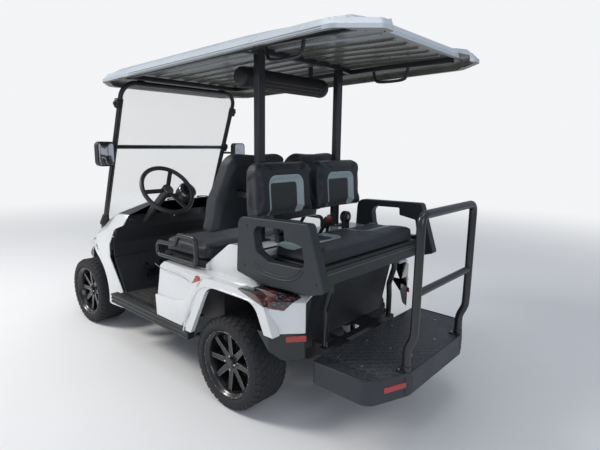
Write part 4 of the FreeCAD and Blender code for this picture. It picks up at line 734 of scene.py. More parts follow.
BODY = Finish("pearl_body", "body_white", (0.72, 0.74, 0.75), 0.24, Grain.PAINT, 60.0, 0.00003,
              coat=1.0, mottle=0.02, dust=0.03)
# rear_moulding: pearl paint with painted shade on its inward and downward faces
TUB = BodyShell("rear_moulding", "body_white", BODY.colour, BODY.roughness, Grain.PAINT, 60.0,
                0.00003, coat=1.0, mottle=0.02, dust=0.03)
BODY_LOW = Finish("pearl_body_seam", "body_white", (0.24, 0.25, 0.27), 0.4, Grain.PAINT, 60.0,
                  0.00003, mottle=0.05)
# roof_shell: pale outside, painted shade on its underside and recess walls
SHELL = RoofShell("roof_shell", "roof_plastic", (0.50, 0.55, 0.60), 0.3, Grain.PAINT, 90.0,
                  0.00004, coat=0.3, mottle=0.03, dust=0.05)
BLACK = Finish("black_grained_plastic", "black_plastic", (0.017, 0.019, 0.022), 0.50, size=700.0,
               dust=0.06)
BLACK_OLIVE = Finish("weathered_black_plastic", "black_plastic", (0.022, 0.027, 0.028), 0.45,
                     size=600.0, mottle=0.2, dust=0.06)
SLATE = Finish("armrest_plastic", "black_plastic", (0.019, 0.025, 0.030), 0.40, size=650.0,
               mottle=0.15, dust=0.04)
# tray_parting_highlight: pale grey for the strip on the parting line, a painted highlight
PARTING_HIGHLIGHT = Finish("tray_parting_highlight", "black_plastic", (0.15, 0.155, 0.14), 0.5, size=600.0, mottle=0.1)
DASH = Finish("dash_plastic", "dash_plastic", (0.015, 0.016, 0.019), 0.42, size=800.0, dust=0.05)
DECK = TreadPlate("tread_deck", "black_plastic", (0.022, 0.026, 0.033), 0.42, size=600.0,
                  mottle=0.15, dust=0.10)
TUBE = Finish("satin_black_paint", "tube_paint", (0.014, 0.015, 0.018), 0.32, Grain.PAINT, 220.0,
              0.0001, coat=0.25, mottle=0.12, dust=0.04)
FRAME = Finish("frame_paint", "frame_paint", (0.024, 0.024, 0.026), 0.5, Grain.PAINT, 120.0, 0.0002,
               mottle=0.3, dust=0.35)
IRON = Finish("axle_iron", "axle_steel", (0.07, 0.066, 0.062), 0.6, Grain.RUBBER, 260.0, 0.0004,
              metallic=0.5, mottle=0.35, dust=0.45)
CASE = Finish("battery_case", "pack_case", (0.05, 0.05, 0.055), 0.55, size=300.0, dust=0.3)
RUBBER = Finish("tyre_rubber", "tyre_rubber", (0.027, 0.027, 0.028), 0.72, Grain.RUBBER, 320.0,
                0.0003, mottle=0.3, cloud=14.0, dust=0.35)
TRIM = Finish("rubber_trim", "black_plastic", (0.018, 0.018, 0.019), 0.6, Grain.RUBBER, 500.0,
              0.0001)
RIM = Finish("gloss_black_rim", "rim_paint", (0.008, 0.008, 0.010), 0.28, Grain.PAINT, 90.0,
             0.00003, coat=0.4, mottle=0.1, dust=0.08)
MACHINED = Finish("machined_face", "rim_paint", (0.44, 0.45, 0.48), 0.30, Grain.BRUSHED, 120.0,
                  0.00004, metallic=1.0, mottle=0.1, dust=0.0)
CHROME = Finish("chrome", "tube_paint", (0.82, 0.83, 0.84), 0.09, Grain.PAINT, 40.0, 0.00001,
                metallic=1.0, mottle=0.03, dust=0.02)
STEEL = Finish("zinc_screw", "tube_paint", (0.42, 0.42, 0.43), 0.32, Grain.BRUSHED, 300.0, 0.00005,
               metallic=1.0, dust=0.1)
RED = Finish("red_reflector", "tail_red", (0.36, 0.018, 0.016), 0.22, Grain.LEATHER, 260.0, 0.0003,
             coat=0.7, mottle=0.12)
BUTTON = Finish("red_button", "tail_red", (0.30, 0.02, 0.02), 0.35, size=900.0)
TAIL = LampLens("tail_lens", "tail_red", (0.12, 0.01, 0.01), 0.10, Grain.PAINT, 120.0, 0.00003,
                coat=1.0)
LAMP = Finish("lamp_bowl", "lamp_clear", (0.66, 0.68, 0.70), 0.12, Grain.LEATHER, 90.0, 0.0006,
              metallic=0.8, coat=1.0, mottle=0.05, dust=0.0)
PANE = Glass("clear_pane", "clear_pane", (0.99, 1.0, 0.995), 0.0, mottle=0.0, dust=0.0,
             index=1.12)
DIAL = Finish("dial_face", "dash_plastic", (0.012, 0.013, 0.016), 0.12, Grain.PAINT, 60.0,
              0.00001, coat=1.0)
MARK = Finish("dial_marks", "dash_plastic", (0.70, 0.72, 0.74), 0.4, Grain.PAINT, 60.0, 0.00001,
              dust=0.0)
GRILLE = Finish("grille_cloth", "black_plastic", (0.16, 0.12, 0.07), 0.6, Grain.LEATHER, 420.0,
                0.0006, mottle=0.4, cloud=60.0)
VINYL = SeatVinyl("plain_vinyl", "vinyl", (0.011, 0.015, 0.021), 0.40, Grain.LEATHER, 520.0, 0.0003,
                  mottle=0.15, cloud=9.0, dust=0.04, sheen=0.05)

REAR_BACK = Stripe(0.231, 0.128, 1.180, 0.05, 0.030, 0.040, True, -1.0, 0.014, 0.012)
REAR_SEAT = Stripe(0.250, 0.160, 0.925, 0.07, 0.045, 0.045, False, 1.0, 0.007)
FRONT_BACK = Stripe(0.237, 0.130, 1.190, 0.05, 0.030, 0.042, True, 1.0, 0.014, 0.012)
FRONT_SEAT = Stripe(0.240, 0.160, -0.070, 0.07, 0.045, 0.045, False, 1.0, 0.007)


def striped(label: str, stripe: Stripe) -> SeatVinyl:
    """The seat vinyl with its band and panel."""
    return replace(VINYL, label=label, stripe=stripe)


class Plane(Enum):
    """Plane of a flat outline: directions across, up and through it."""

    SIDE = (Vector((1, 0, 0)), Vector((0, 0, 1)), Vector((0, 1, 0)))
    FRONT = (Vector((0, 1, 0)), Vector((0, 0, 1)), Vector((1, 0, 0)))


def placed(name: str, data: bpy.types.ID) -> bpy.types.Object:
    """A new object with some data, linked into the scene.

    Args:
        name: Its name.
        data: Its data.

    Returns:
        The object.
    """
    made = bpy.data.objects.new(name, data)
    bpy.context.scene.collection.objects.link(made)
    return made


def as_mesh(name: str, source: bmesh.types.BMesh) -> bpy.types.Mesh:
    """A mesh with a bmesh's content; the bmesh is freed.

    Args:
        name: Its name.
        source: The bmesh, freed afterwards.

    Returns:
        The mesh.
    """
    data = bpy.data.meshes.new(name)
    source.to_mesh(data)
    source.free()
    return data


def corners_of(made: Iterable) -> list:
    """The vertices among an operator's results."""
    return [item for item in made if isinstance(item, bmesh.types.BMVert)]


def evened(mesh: bmesh.types.BMesh, factor: float) -> None:
    """Smooth all vertices by a factor."""
    bmesh.ops.smooth_vert(mesh, verts=mesh.verts, factor=factor, use_axis_x=True,
                          use_axis_y=True, use_axis_z=True)


def shift_all(mesh: bmesh.types.BMesh, steps: Sequence[Vector]) -> None:
    """Move each vertex by its step."""
    for vert, step in zip(mesh.verts, steps):
        vert.co += step


def moved(x: float, y: float, z: float) -> Matrix:
    """Shift along the three axes."""
    return Matrix.Translation((x, y, z))


def turned(axis: str, angle: float) -> Matrix:
    """Rotation about an axis by an angle in radians."""
    return Matrix.Rotation(angle, 4, axis)


class Sculpt:
    """A mesh that grows by bmesh operators and ends as one named piece."""

    def __init__(self, ink: int = 0) -> None:
        """Start empty.

        Args:
            ink: Number of the finish its faces take when it is joined to another.
        """
        self.mesh = bmesh.new()
        self.ink = ink

    def whole(self) -> list:
        """All vertices, edges and faces."""
        return list(self.mesh.verts) + list(self.mesh.edges) + list(self.mesh.faces)

    def bevel(self, edges: Iterable, width: float, segments: int = 2) -> None:
        """Round some edges.

        Args:
            edges: The edges to round.
            width: Width of the rounding, none at zero.
            segments: Steps of the rounding.
        """
        if width > 0:
            bmesh.ops.bevel(self.mesh, geom=list(edges), offset=width, offset_type="OFFSET",
                            affect="EDGES", segments=segments, profile=0.5, material=-1,
                            clamp_overlap=True)

    def sharp(self, angle: float = 30.0) -> list:
        """Edges whose faces turn by more than an angle.

        Args:
            angle: The angle in degrees.

        Returns:
            The edges.
        """
        limit = math.radians(angle)
        return [edge for edge in self.mesh.edges
                if len(edge.link_faces) == 2 and edge.calc_face_angle(0.0) > limit]

    def move(self, matrix: Matrix) -> "Sculpt":
        """Transform everything."""
        bmesh.ops.transform(self.mesh, matrix=matrix, verts=self.mesh.verts)
        return self

    def block(self, low: Triple, high: Triple, edge: float = 0.002,
              segments: int = 2) -> "Sculpt":
        """A bevelled box between two corners.

        Args:
            low: Corner with the least X, Y and Z.
            high: Corner opposite.
            edge: Rounding of its edges.
            segments: Steps of that rounding.

        Returns:
            This sculpt.
        """
        part = Sculpt()
        verts = bmesh.ops.create_cube(part.mesh, size=1.0)["verts"]
        size = [b - a for a, b in zip(low, high)]
        bmesh.ops.scale(part.mesh, vec=size, verts=verts)
        bmesh.ops.translate(part.mesh, vec=[(a + b) / 2 for a, b in zip(low, high)],
                            verts=verts)
        part.bevel(part.mesh.edges, edge, segments)
        return self.join(part)

    def plate(self, corners: Sequence[Triple], low: float, high: float, plane: Plane,
              edge: float = 0.0015, segments: int = 2) -> "Sculpt":
        """A flat outline pushed from one level to another.

        Args:
            corners: Across, up and rounding of each corner.
            low: First level through the plane.
            high: Second level.
            plane: Plane of the outline.
            edge: Rounding of the rims.
            segments: Steps of that rounding.

        Returns:
            This sculpt.
        """
        part = Sculpt()
        across, up, through = plane.value
        verts = [part.mesh.verts.new(across * u + up * v + through * low)
                 for u, v, _ in corners]
        part.mesh.faces.new(verts)
        for vert, (_, _, radius) in zip(verts, corners):
            if radius > 0:
                bmesh.ops.bevel(part.mesh, geom=[vert], offset=radius, offset_type="OFFSET",
                                affect="VERTICES", segments=CORNER_STEPS, profile=0.5,
                                material=-1)
        made = bmesh.ops.extrude_face_region(part.mesh, geom=list(part.mesh.faces))["geom"]
        bmesh.ops.translate(part.mesh, vec=through * (high - low), verts=corners_of(made))
        bmesh.ops.recalc_face_normals(part.mesh, faces=part.mesh.faces)
        part.bevel(part.sharp(PLATE_ANGLE), edge, segments)
        return self.join(part)

    def drum(self, centre: Triple, axis: Triple, radius: float, depth: float,
             edge: float = 0.001, sides: int = 24, top: Optional[float] = None) -> "Sculpt":
        """A round or tapered drum.

        Args:
            centre: Its middle point.
            axis: Its direction.
            radius: Radius of its foot, and of its top if none is given.
            depth: Its height along the axis.
            edge: Rounding of its rims.
            sides: Number of its sides.
            top: Radius of its top.

        Returns:
            This sculpt.
        """
        part = Sculpt()
        bmesh.ops.create_cone(part.mesh, cap_ends=True, segments=sides, radius1=radius,
                              radius2=radius if top is None else top, depth=depth)
        part.bevel(part.sharp(PLATE_ANGLE), edge, 2)
        turn = Vector((0, 0, 1)).rotation_difference(Vector(axis).normalized())
        part.move(Matrix.Translation(centre) @ turn.to_matrix().to_4x4())
        return self.join(part)

    def lathe(self, profile: Sequence[Pair], steps: int = 64, closed: bool = True,
              turn: Matrix = Matrix.Identity(4)) -> "Sculpt":
        """Spin an outline about the Y axis.

        Args:
            profile: Place along the axis and radius of each point.
            steps: Number of steps of the full turn.
            closed: Join the last point to the first.
            turn: Where the turned form goes.

        Returns:
            This sculpt.
        """
        part = Sculpt()
        verts = [part.mesh.verts.new((0.0, along, radius)) for along, radius in profile]
        edges = [part.mesh.edges.new((a, b)) for a, b in zip(verts, verts[1:])]
        if closed:
            edges.append(part.mesh.edges.new((verts[-1], verts[0])))
        bmesh.ops.spin(part.mesh, geom=verts + edges, cent=(0, 0, 0), axis=(0, 1, 0),
                       angle=math.tau, steps=steps, use_merge=True)
        bmesh.ops.remove_doubles(part.mesh, verts=part.mesh.verts, dist=SPIN_WELD)
        bmesh.ops.recalc_face_normals(part.mesh, faces=part.mesh.faces)
        part.move(turn)
        return self.join(part)

    def rope(self, points: Sequence[Triple], radius: float, sides: int = 4,
             smooth: bool = True) -> "Sculpt":
        """A round bar along a line, made from a bevelled curve.

        Args:
            points: Points of the line.
            radius: Radius of the bar.
            sides: Steps of its rounding.
            smooth: Follow a smooth curve instead of straight stretches.

        Returns:
            This sculpt.
        """
        curve = bpy.data.curves.new("line", "CURVE")
        curve.dimensions = "3D"
        curve.bevel_depth = radius
        curve.bevel_resolution = sides
        curve.use_fill_caps = True
        curve.resolution_u = 8
        spline = curve.splines.new("NURBS" if smooth else "POLY")
        spline.points.add(len(points) - 1)
        for point, spot in zip(spline.points, points):
            point.co = (*spot, 1.0)
        if smooth:
            spline.order_u = 3
            spline.use_endpoint_u = True
        holder = bpy.data.objects.new("line", curve)
        made = bpy.data.meshes.new_from_object(holder)
        part = Sculpt()
        part.mesh.from_mesh(made)
        bmesh.ops.remove_doubles(part.mesh, verts=part.mesh.verts, dist=ROPE_WELD)
        bpy.data.objects.remove(holder)
        bpy.data.curves.remove(curve)
        bpy.data.meshes.remove(made)
        return self.join(part)

    def node(self, name: str, left_only: bool = False, flat: float = 0.6) -> "Sculpt":
        """A merged copy of a CAD node's mesh with its flat faces whole.

        Args:
            name: The CAD node.
            left_only: Leave out what lies right of the middle plane.
            flat: Degrees within which neighbouring faces are joined, none at zero.

        Returns:
            This sculpt.
        """
        part = Sculpt()
        part.mesh.from_mesh(NODES[name].data)
        bmesh.ops.remove_doubles(part.mesh, verts=part.mesh.verts, dist=NODE_WELD)
        if left_only:
            far = [vert for vert in part.mesh.verts if vert.co.y < 0]
            bmesh.ops.delete(part.mesh, geom=far, context="VERTS")
        if flat > 0:
            bmesh.ops.dissolve_limit(part.mesh, angle_limit=math.radians(flat),
                                     verts=part.mesh.verts, edges=part.mesh.edges)
        for face in part.mesh.faces:
            face.material_index = 0
        return self.join(part)

    def repeat(self, count: int) -> "Sculpt":
        """Evenly spaced copies round the Y axis.

        Args:
            count: Number of copies with the first.

        Returns:
            This sculpt.
        """
        bmesh.ops.spin(self.mesh, geom=self.whole(), cent=(0, 0, 0), axis=(0, 1, 0),
                       angle=math.tau * (count - 1) / count, steps=count - 1, use_duplicate=True)
        return self

    def cut(self, axis: int, places: Iterable[float]) -> "Sculpt":
        """Split the faces at planes, so that the mesh can bend there.

        Args:
            axis: Number of the axis that the planes stand across.
            places: Places of the planes along it.

        Returns:
            This sculpt.
        """
        normal = Vector((0.0, 0.0, 0.0))
        normal[axis] = 1.0
        for place in places:
            bmesh.ops.bisect_plane(self.mesh, geom=self.whole(), plane_co=normal * place,
                                   plane_no=normal)
        return self

    def trim(self, point: Triple, normal: Triple) -> "Sculpt":
        """Take away what lies beyond a plane.

        Args:
            point: A point of the plane.
            normal: Direction of the side that goes.

        Returns:
            This sculpt.
        """
        bmesh.ops.bisect_plane(self.mesh, geom=self.whole(), plane_co=point, plane_no=normal,
                               clear_outer=True)
        return self

    def bend(self, rule: Callable[[Vector], Triple]) -> "Sculpt":
        """Move each vertex by what a rule gives for its place.

        Args:
            rule: Gives the step for a place.

        Returns:
            This sculpt.
        """
        for vert in self.mesh.verts:
            vert.co += Vector(rule(vert.co))
        return self

    def join(self, *others: "Sculpt") -> "Sculpt":
        """Take other sculpts in, each with its own ink where it has one.

        Args:
            others: The other sculpts.

        Returns:
            This sculpt.
        """
        for other in others:
            if other.ink:
                for face in other.mesh.faces:
                    face.material_index = other.ink
            held = as_mesh("held", other.mesh)
            self.mesh.from_mesh(held)
            bpy.data.meshes.remove(held)
        return self

    def both(self) -> "Sculpt":
        """Add the other side's copy, mirrored in the middle plane.

        Returns:
            This sculpt.
        """
        made = bmesh.ops.duplicate(self.mesh, geom=self.whole())["geom"]
        faces = [item for item in made if isinstance(item, bmesh.types.BMFace)]
        bmesh.ops.scale(self.mesh, vec=(1, -1, 1), verts=corners_of(made))
        bmesh.ops.reverse_faces(self.mesh, faces=faces)
        return self

    def piece(self, name: str, *finishes: Finish, body: str = "chassis", slot: str = "",
              replaces: Sequence[str] = (), angle: float = SHADE_ANGLE) -> bpy.types.Object:
        """Turn the sculpt into an object of the model.

        Args:
            name: Name of the piece.
            finishes: Finishes by ink number.
            body: The CAD body that it rides on.
            slot: Not used; taken from the first finish when none is given, then read by nothing.
            replaces: CAD nodes that it stands for.
            angle: Edges sharper than this stay crisp in shading.

        Returns:
            The new object.
        """
        limit = math.radians(angle)
        for face in self.mesh.faces:
            face.smooth = True
        for edge in self.mesh.edges:
            edge.smooth = len(edge.link_faces) != 2 or edge.calc_face_angle(0.0) < limit
        data = as_mesh(name, self.mesh)
        made = placed(name, data)
        for finish in finishes:
            data.materials.append(finish.material())
        slot = slot or finishes[0].slot
        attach(made, body)
        if replaces:
            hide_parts(*replaces)
        LOG.info("%s: %d faces on %s", name, len(data.polygons), body)
        return made


def softened(node: str, finish: Finish, edge: float = 0.0, segments: int = 2,
             body: str = "chassis", angle: float = SHADE_ANGLE) -> None:
    """A CAD node's copy with smooth shading and small rounded edges.

    Args:
        node: The CAD node.
        finish: Its finish.
        edge: Width of the rounding, none at zero.
        segments: Steps of the rounding.
        body: The body that it rides on.
        angle: Edges sharper than this stay crisp in shading.
    """
    made = Sculpt().node(node).piece(f"{node}_skin", finish, body=body, replaces=[node],
                                     angle=angle)
    if edge > 0:
        rounded(made, edge, segments)


def rounded(made: bpy.types.Object, edge: float, segments: int = 2) -> None:
    """Give a piece a live rounding of its sharp edges.

    Args:
        made: The piece.
        edge: Width of the rounding.
        segments: Steps of the rounding.
    """
    rounding = made.modifiers.new("rounding", "BEVEL")
    rounding.width = edge
    rounding.segments = segments
    rounding.limit_method = "ANGLE"
    rounding.angle_limit = ROUNDED_ANGLE
    rounding.use_clamp_overlap = True
    rounding.harden_normals = True


def eased(value: float, low: float, high: float) -> float:
    """Smooth step from zero to one between two levels."""
    share = min(1.0, max(0.0, (value - low) / (high - low)))
    return share * share * (3.0 - 2.0 * share)


@dataclass
class Studio:
    """Camera, lamps, floor and background."""

    eye: Triple = (-2.23151785, 1.92312419, 1.33686382)
    yaw: float = -0.846946879
    pitch: float = 0.177607457
    roll: float = 0.0136849393
    focal: float = 453.662175
    image_width: float = 600.0
    sensor: float = 36.0

    def camera(self) -> None:
        """The camera at the photograph's place."""
        data = bpy.data.cameras.new("camera")
        data.sensor_fit = "HORIZONTAL"
        data.sensor_width = self.sensor
        data.lens = self.focal * self.sensor / self.image_width
        data.clip_end = 200.0
        flat = math.cos(self.pitch)
        ahead = Vector((flat * math.cos(self.yaw), flat * math.sin(self.yaw),
                        -math.sin(self.pitch)))
        level = Vector((math.sin(self.yaw), -math.cos(self.yaw), 0.0))
        above = level.cross(ahead)
        right = level * math.cos(self.roll) + above * math.sin(self.roll)
        up = above * math.cos(self.roll) - level * math.sin(self.roll)
        turn = Matrix((right, up, -ahead)).transposed().to_4x4()
        made = placed("camera", data)
        made.matrix_world = Matrix.Translation(self.eye) @ turn
        bpy.context.scene.camera = made

    def lamp(self, name: str, place: Triple, aim: Triple, size: float, power: float,
             colour: Triple) -> None:
        """A square softbox.

        Args:
            name: Name of the lamp.
            place: Where it stands.
            aim: The point that it faces.
            size: Length of its sides.
            power: Power in watts.
            colour: Colour of its light.
        """
        data = bpy.data.lights.new(name, "AREA")
        data.size = size
        data.energy = power
        data.color = colour
        made = placed(name, data)
        look = (Vector(aim) - Vector(place)).to_track_quat("-Z", "Y")
        made.matrix_world = Matrix.Translation(place) @ look.to_matrix().to_4x4()

    def world(self) -> None:
        """Soft pale surroundings, seen white by the camera and through glass."""
        world = bpy.data.worlds.new("studio")
        world.use_nodes = True
        bpy.context.scene.world = world
        graph = Graph(world.node_tree)
        world.node_tree.nodes.clear()
        path = graph.add("ShaderNodeLightPath")
        seen = graph.math("MAXIMUM", path.outputs["Is Camera Ray"],
                          path.outputs["Is Transmission Ray"])
        soft = graph.add("ShaderNodeBackground", {"Color": (0.80, 0.87, 1.0, 1),
                                                  "Strength": 0.42})
        pale = graph.add("ShaderNodeBackground", {"Color": PALE_BACKDROP, "Strength": 1.0})
        mix = graph.add("ShaderNodeMixShader", {0: seen, 1: soft.outputs[0],
                                                2: pale.outputs[0]})
        out = graph.add("ShaderNodeOutputWorld")
        graph.feed(out.inputs[0], mix.outputs[0])

    def floor(self) -> None:
        """A wide pale floor that fades into the background."""
        mesh = bmesh.new()
        bmesh.ops.create_circle(mesh, cap_ends=True, segments=64, radius=60.0)
        data = as_mesh("floor", mesh)
        made = placed("floor", data)
        paint = bpy.data.materials.new("pale_floor")
        paint.use_nodes = True
        graph = Graph(paint.node_tree)
        shader = paint.node_tree.nodes["Principled BSDF"]
        spot = graph.place()
        cloud = graph.noise(spot, 1.5, 4.0)
        graph.feed(shader.inputs["Base Color"], graph.blend(cloud, (0.80, 0.805, 0.81, 1),
                                                            (0.84, 0.845, 0.85, 1)))
        shader.inputs["Roughness"].default_value = 0.85
        far = graph.add("ShaderNodeVectorMath", {0: spot}, operation="LENGTH").outputs["Value"]
        path = graph.add("ShaderNodeLightPath")
        fade = graph.times(graph.span(far, 2.4, 9.0), path.outputs["Is Camera Ray"])
        pale = graph.add("ShaderNodeEmission", {"Color": PALE_BACKDROP})
        mix = graph.add("ShaderNodeMixShader", {0: fade, 1: shader.outputs[0],
                                                2: pale.outputs[0]})
        graph.feed(paint.node_tree.nodes["Material Output"].inputs[0], mix.outputs[0])
        data.materials.append(paint)

    def build(self) -> None:
        """Set the whole stage."""
        bpy.context.scene.view_settings.view_transform = "Standard"
        self.camera()
        self.world()
        self.floor()
        self.lamp("key", (3.6, 3.4, 4.6), (-0.2, 0.0, 0.5), 1.6, 250.0, (1.0, 0.96, 0.90))
        self.lamp("top", (-0.6, 0.4, 5.2), (-0.3, 0.0, 0.6), 3.6, 70.0, (1.0, 1.0, 1.0))
        self.lamp("fill", (-4.6, 2.4, 2.6), (-0.6, 0.0, 0.7), 2.6, 50.0, (0.92, 0.96, 1.0))


@dataclass
class Wheels:
    """Four wheels: ribbed tyres on eight-spoke rims."""

    rear_x: float = -0.555
    front_x: float = 1.088
    rear_y: float = 0.477
    front_y: float = 0.442
    radius: float = 0.2375
    pitches: int = 38
    spokes: int = 8

    carcass: tuple[Pair, ...] = (
        (0.0877, 0.158), (0.0877, 0.176), (0.0975, 0.1765), (0.1030, 0.1795), (0.1040, 0.184),
        (0.1072, 0.1875), (0.1075, 0.204), (0.1062, 0.2075), (0.1050, 0.2080), (0.1030, 0.2170),
        (0.0990, 0.2260), (0.0900, 0.2320), (0.0840, 0.2338), (0.0500, 0.2345))
    tread_rows: tuple[tuple[float, float, float, float], ...] = (
        (0.0, 0.019, 0.028, 0.0), (0.0265, 0.023, 0.030, 0.5), (-0.0265, 0.023, 0.030, 0.5),
        (0.0575, 0.029, 0.031, 0.12), (-0.0575, 0.029, 0.031, 0.12))
    tread: float = 0.2342
    slant: float = 0.35
    side_marks: int = 52
    barrel: tuple[Pair, ...] = (
        (0.0880, 0.1575), (0.0880, 0.1752), (0.0990, 0.1752), (0.1004, 0.1735),
        (0.1000, 0.1690), (0.0950, 0.1660), (0.0900, 0.1590), (0.0800, 0.1515))
    lip: tuple[Pair, ...] = (
        (0.0893, 0.1606), (0.0935, 0.1650), (0.0920, 0.1660), (0.0878, 0.1612))
    spoke_outline: tuple[Pair, ...] = (
        (-0.0155, 0.030), (-0.0110, 0.152), (0.0110, 0.152), (0.0155, 0.030))
    hub: tuple[Pair, ...] = (
        (0.020, 0.0), (0.020, 0.046), (0.052, 0.047), (0.060, 0.042), (0.062, 0.034),
        (0.0625, 0.031), (0.0740, 0.029), (0.0765, 0.025), (0.0765, 0.0))
    cap: tuple[Pair, ...] = (
        (0.0768, 0.0), (0.0768, 0.0205), (0.0776, 0.0200), (0.0776, 0.0))
    rivets: int = 24
    nuts: int = 4

    def revolved(self, half: Sequence[Pair]) -> Sculpt:
        """Form spun from half an outline and its mirror image."""
        other = [(-along, radius) for along, radius in reversed(half)]
        return Sculpt().lathe([*half, *other], 96)

    def pitch(self) -> Sculpt:
        """One pitch of the tread: a block of each row, shoulder lugs and sidewall ridges.

        Returns:
            The pitch.
        """
        step = math.tau / self.pitches
        blocks = Sculpt()
        for across, wide, long, shift in self.tread_rows:
            row = Sculpt().block((-long / 2, -wide / 2, -0.003), (long / 2, wide / 2, 0.0030),
                                 0.0008, 1)
            blocks.join(row.move(turned("Y", step * shift) @ moved(0, across, self.tread)
                                 @ turned("Z", self.slant if across > 0 else -self.slant)))
        for sign in (1, -1):
            lug = Sculpt().block((-0.013, -0.0125, -0.003), (0.013, 0.0125, 0.0028), 0.0008, 1)
            blocks.join(lug.move(turned("Y", step * 0.6) @ moved(0, sign * 0.0895, 0.2315)
                                 @ turned("X", -sign * 0.42)))
            ridge = Sculpt().block((-0.0045, -0.0016, -0.007), (0.0045, 0.0016, 0.007),
                                   0.0006, 1)
            blocks.join(ridge.move(moved(0, sign * 0.1035, 0.2165) @ turned("X", -sign * 0.25)))
        return blocks

    def tyre(self) -> Sculpt:
        """Carcass with tread blocks and fine marks on its outer sidewall.

        Returns:
            The tyre.
        """
        marks = Sculpt().block((-0.006, -0.0007, -0.0035), (0.006, 0.0007, 0.0035), 0.0003, 1)
        marks.move(moved(0, 0.1076, 0.1955))
        return self.revolved(self.carcass).join(self.pitch().repeat(self.pitches),
                                                marks.repeat(self.side_marks))

    def spoke(self) -> Sculpt:
        """One spoke with a machined rim round its sunk face.

        Returns:
            The spoke.
        """
        spoke = Sculpt()
        verts = [spoke.mesh.verts.new((x, 0.074, z)) for x, z in self.spoke_outline]
        face = spoke.mesh.faces.new(verts)
        made = bmesh.ops.extrude_face_region(spoke.mesh, geom=[face])["geom"]
        bmesh.ops.translate(spoke.mesh, vec=(0, -0.026, 0), verts=corners_of(made))
        bmesh.ops.recalc_face_normals(spoke.mesh, faces=spoke.mesh.faces)
        for vert in spoke.mesh.verts:
            if vert.co.z < 0.05:
                vert.co.y -= 0.012
        outer = max(spoke.mesh.faces, key=lambda item: item.calc_center_median().y)
        rims = bmesh.ops.inset_individual(spoke.mesh, faces=[outer], thickness=0.0013)["faces"]
        for item in rims:
            item.material_index = 1
        bmesh.ops.inset_individual(spoke.mesh, faces=[outer], thickness=0.0008, depth=-0.0012)
        return spoke

    def rim(self) -> Sculpt:
        """Barrel, lip rivets, spokes with machined edges, hub, cap, nuts and valve.

        Returns:
            The rim.
        """
        edge = Sculpt(1).lathe(self.lip, 96)
        rivet = Sculpt(1).drum((0, 0.0990, 0.1712), (0, 1, 0), 0.0024, 0.004, 0.0006, 10)
        whole = self.revolved(self.barrel).join(edge, rivet.repeat(self.rivets),
                                                self.spoke().repeat(self.spokes))
        whole.lathe(self.hub, 48, closed=False)
        whole.lathe(self.cap, 40, closed=False)
        nut = Sculpt(2).drum((0, 0.066, 0.0365), (0, 1, 0), 0.0058, 0.016, 0.001, 6)
        nut.join(Sculpt(2).drum((0, 0.0742, 0.0365), (0, 1, 0), 0.0046, 0.003, 0.001, 12))
        valve = Sculpt().rope([(0, 0.083, 0.1500), (0, 0.098, 0.1440), (0, 0.102, 0.1430)],
                              0.003, 3)
        return whole.join(nut.repeat(self.nuts), valve)

    def build(self) -> None:
        """Both pieces of each wheel, in place on its body."""
        for axle, x, y in (("rear", self.rear_x, self.rear_y),
                           ("front", self.front_x, self.front_y)):
            for corner, side in (("left", 1), ("right", -1)):
                place = moved(x, side * y, self.radius)
                if side < 0:
                    place = place @ turned("Z", math.pi)
                body = f"wheel_{axle}_{corner}"
                self.tyre().move(place).piece(f"{body}_tyre", RUBBER, body=body,
                                              replaces=[f"tyre_{axle}_{corner}"])
                self.rim().move(place).piece(f"{body}_rim", RIM, MACHINED, CHROME, body=body,
                                             replaces=[f"rim_{axle}_{corner}"])


CLOTH_FRAMES = 20
CLOTH = {"quality": 4, "mass": 0.3, "tension_stiffness": 12.0, "compression_stiffness": 12.0,
         "bending_stiffness": 1.0, "vertex_group_mass": "held", "use_pressure": True,
         "uniform_pressure_force": 4.0}
SEAM_DEPTH = 0.0022
CREASE_DEPTH = 0.0022
RIPPLE_DEPTH = 0.0012


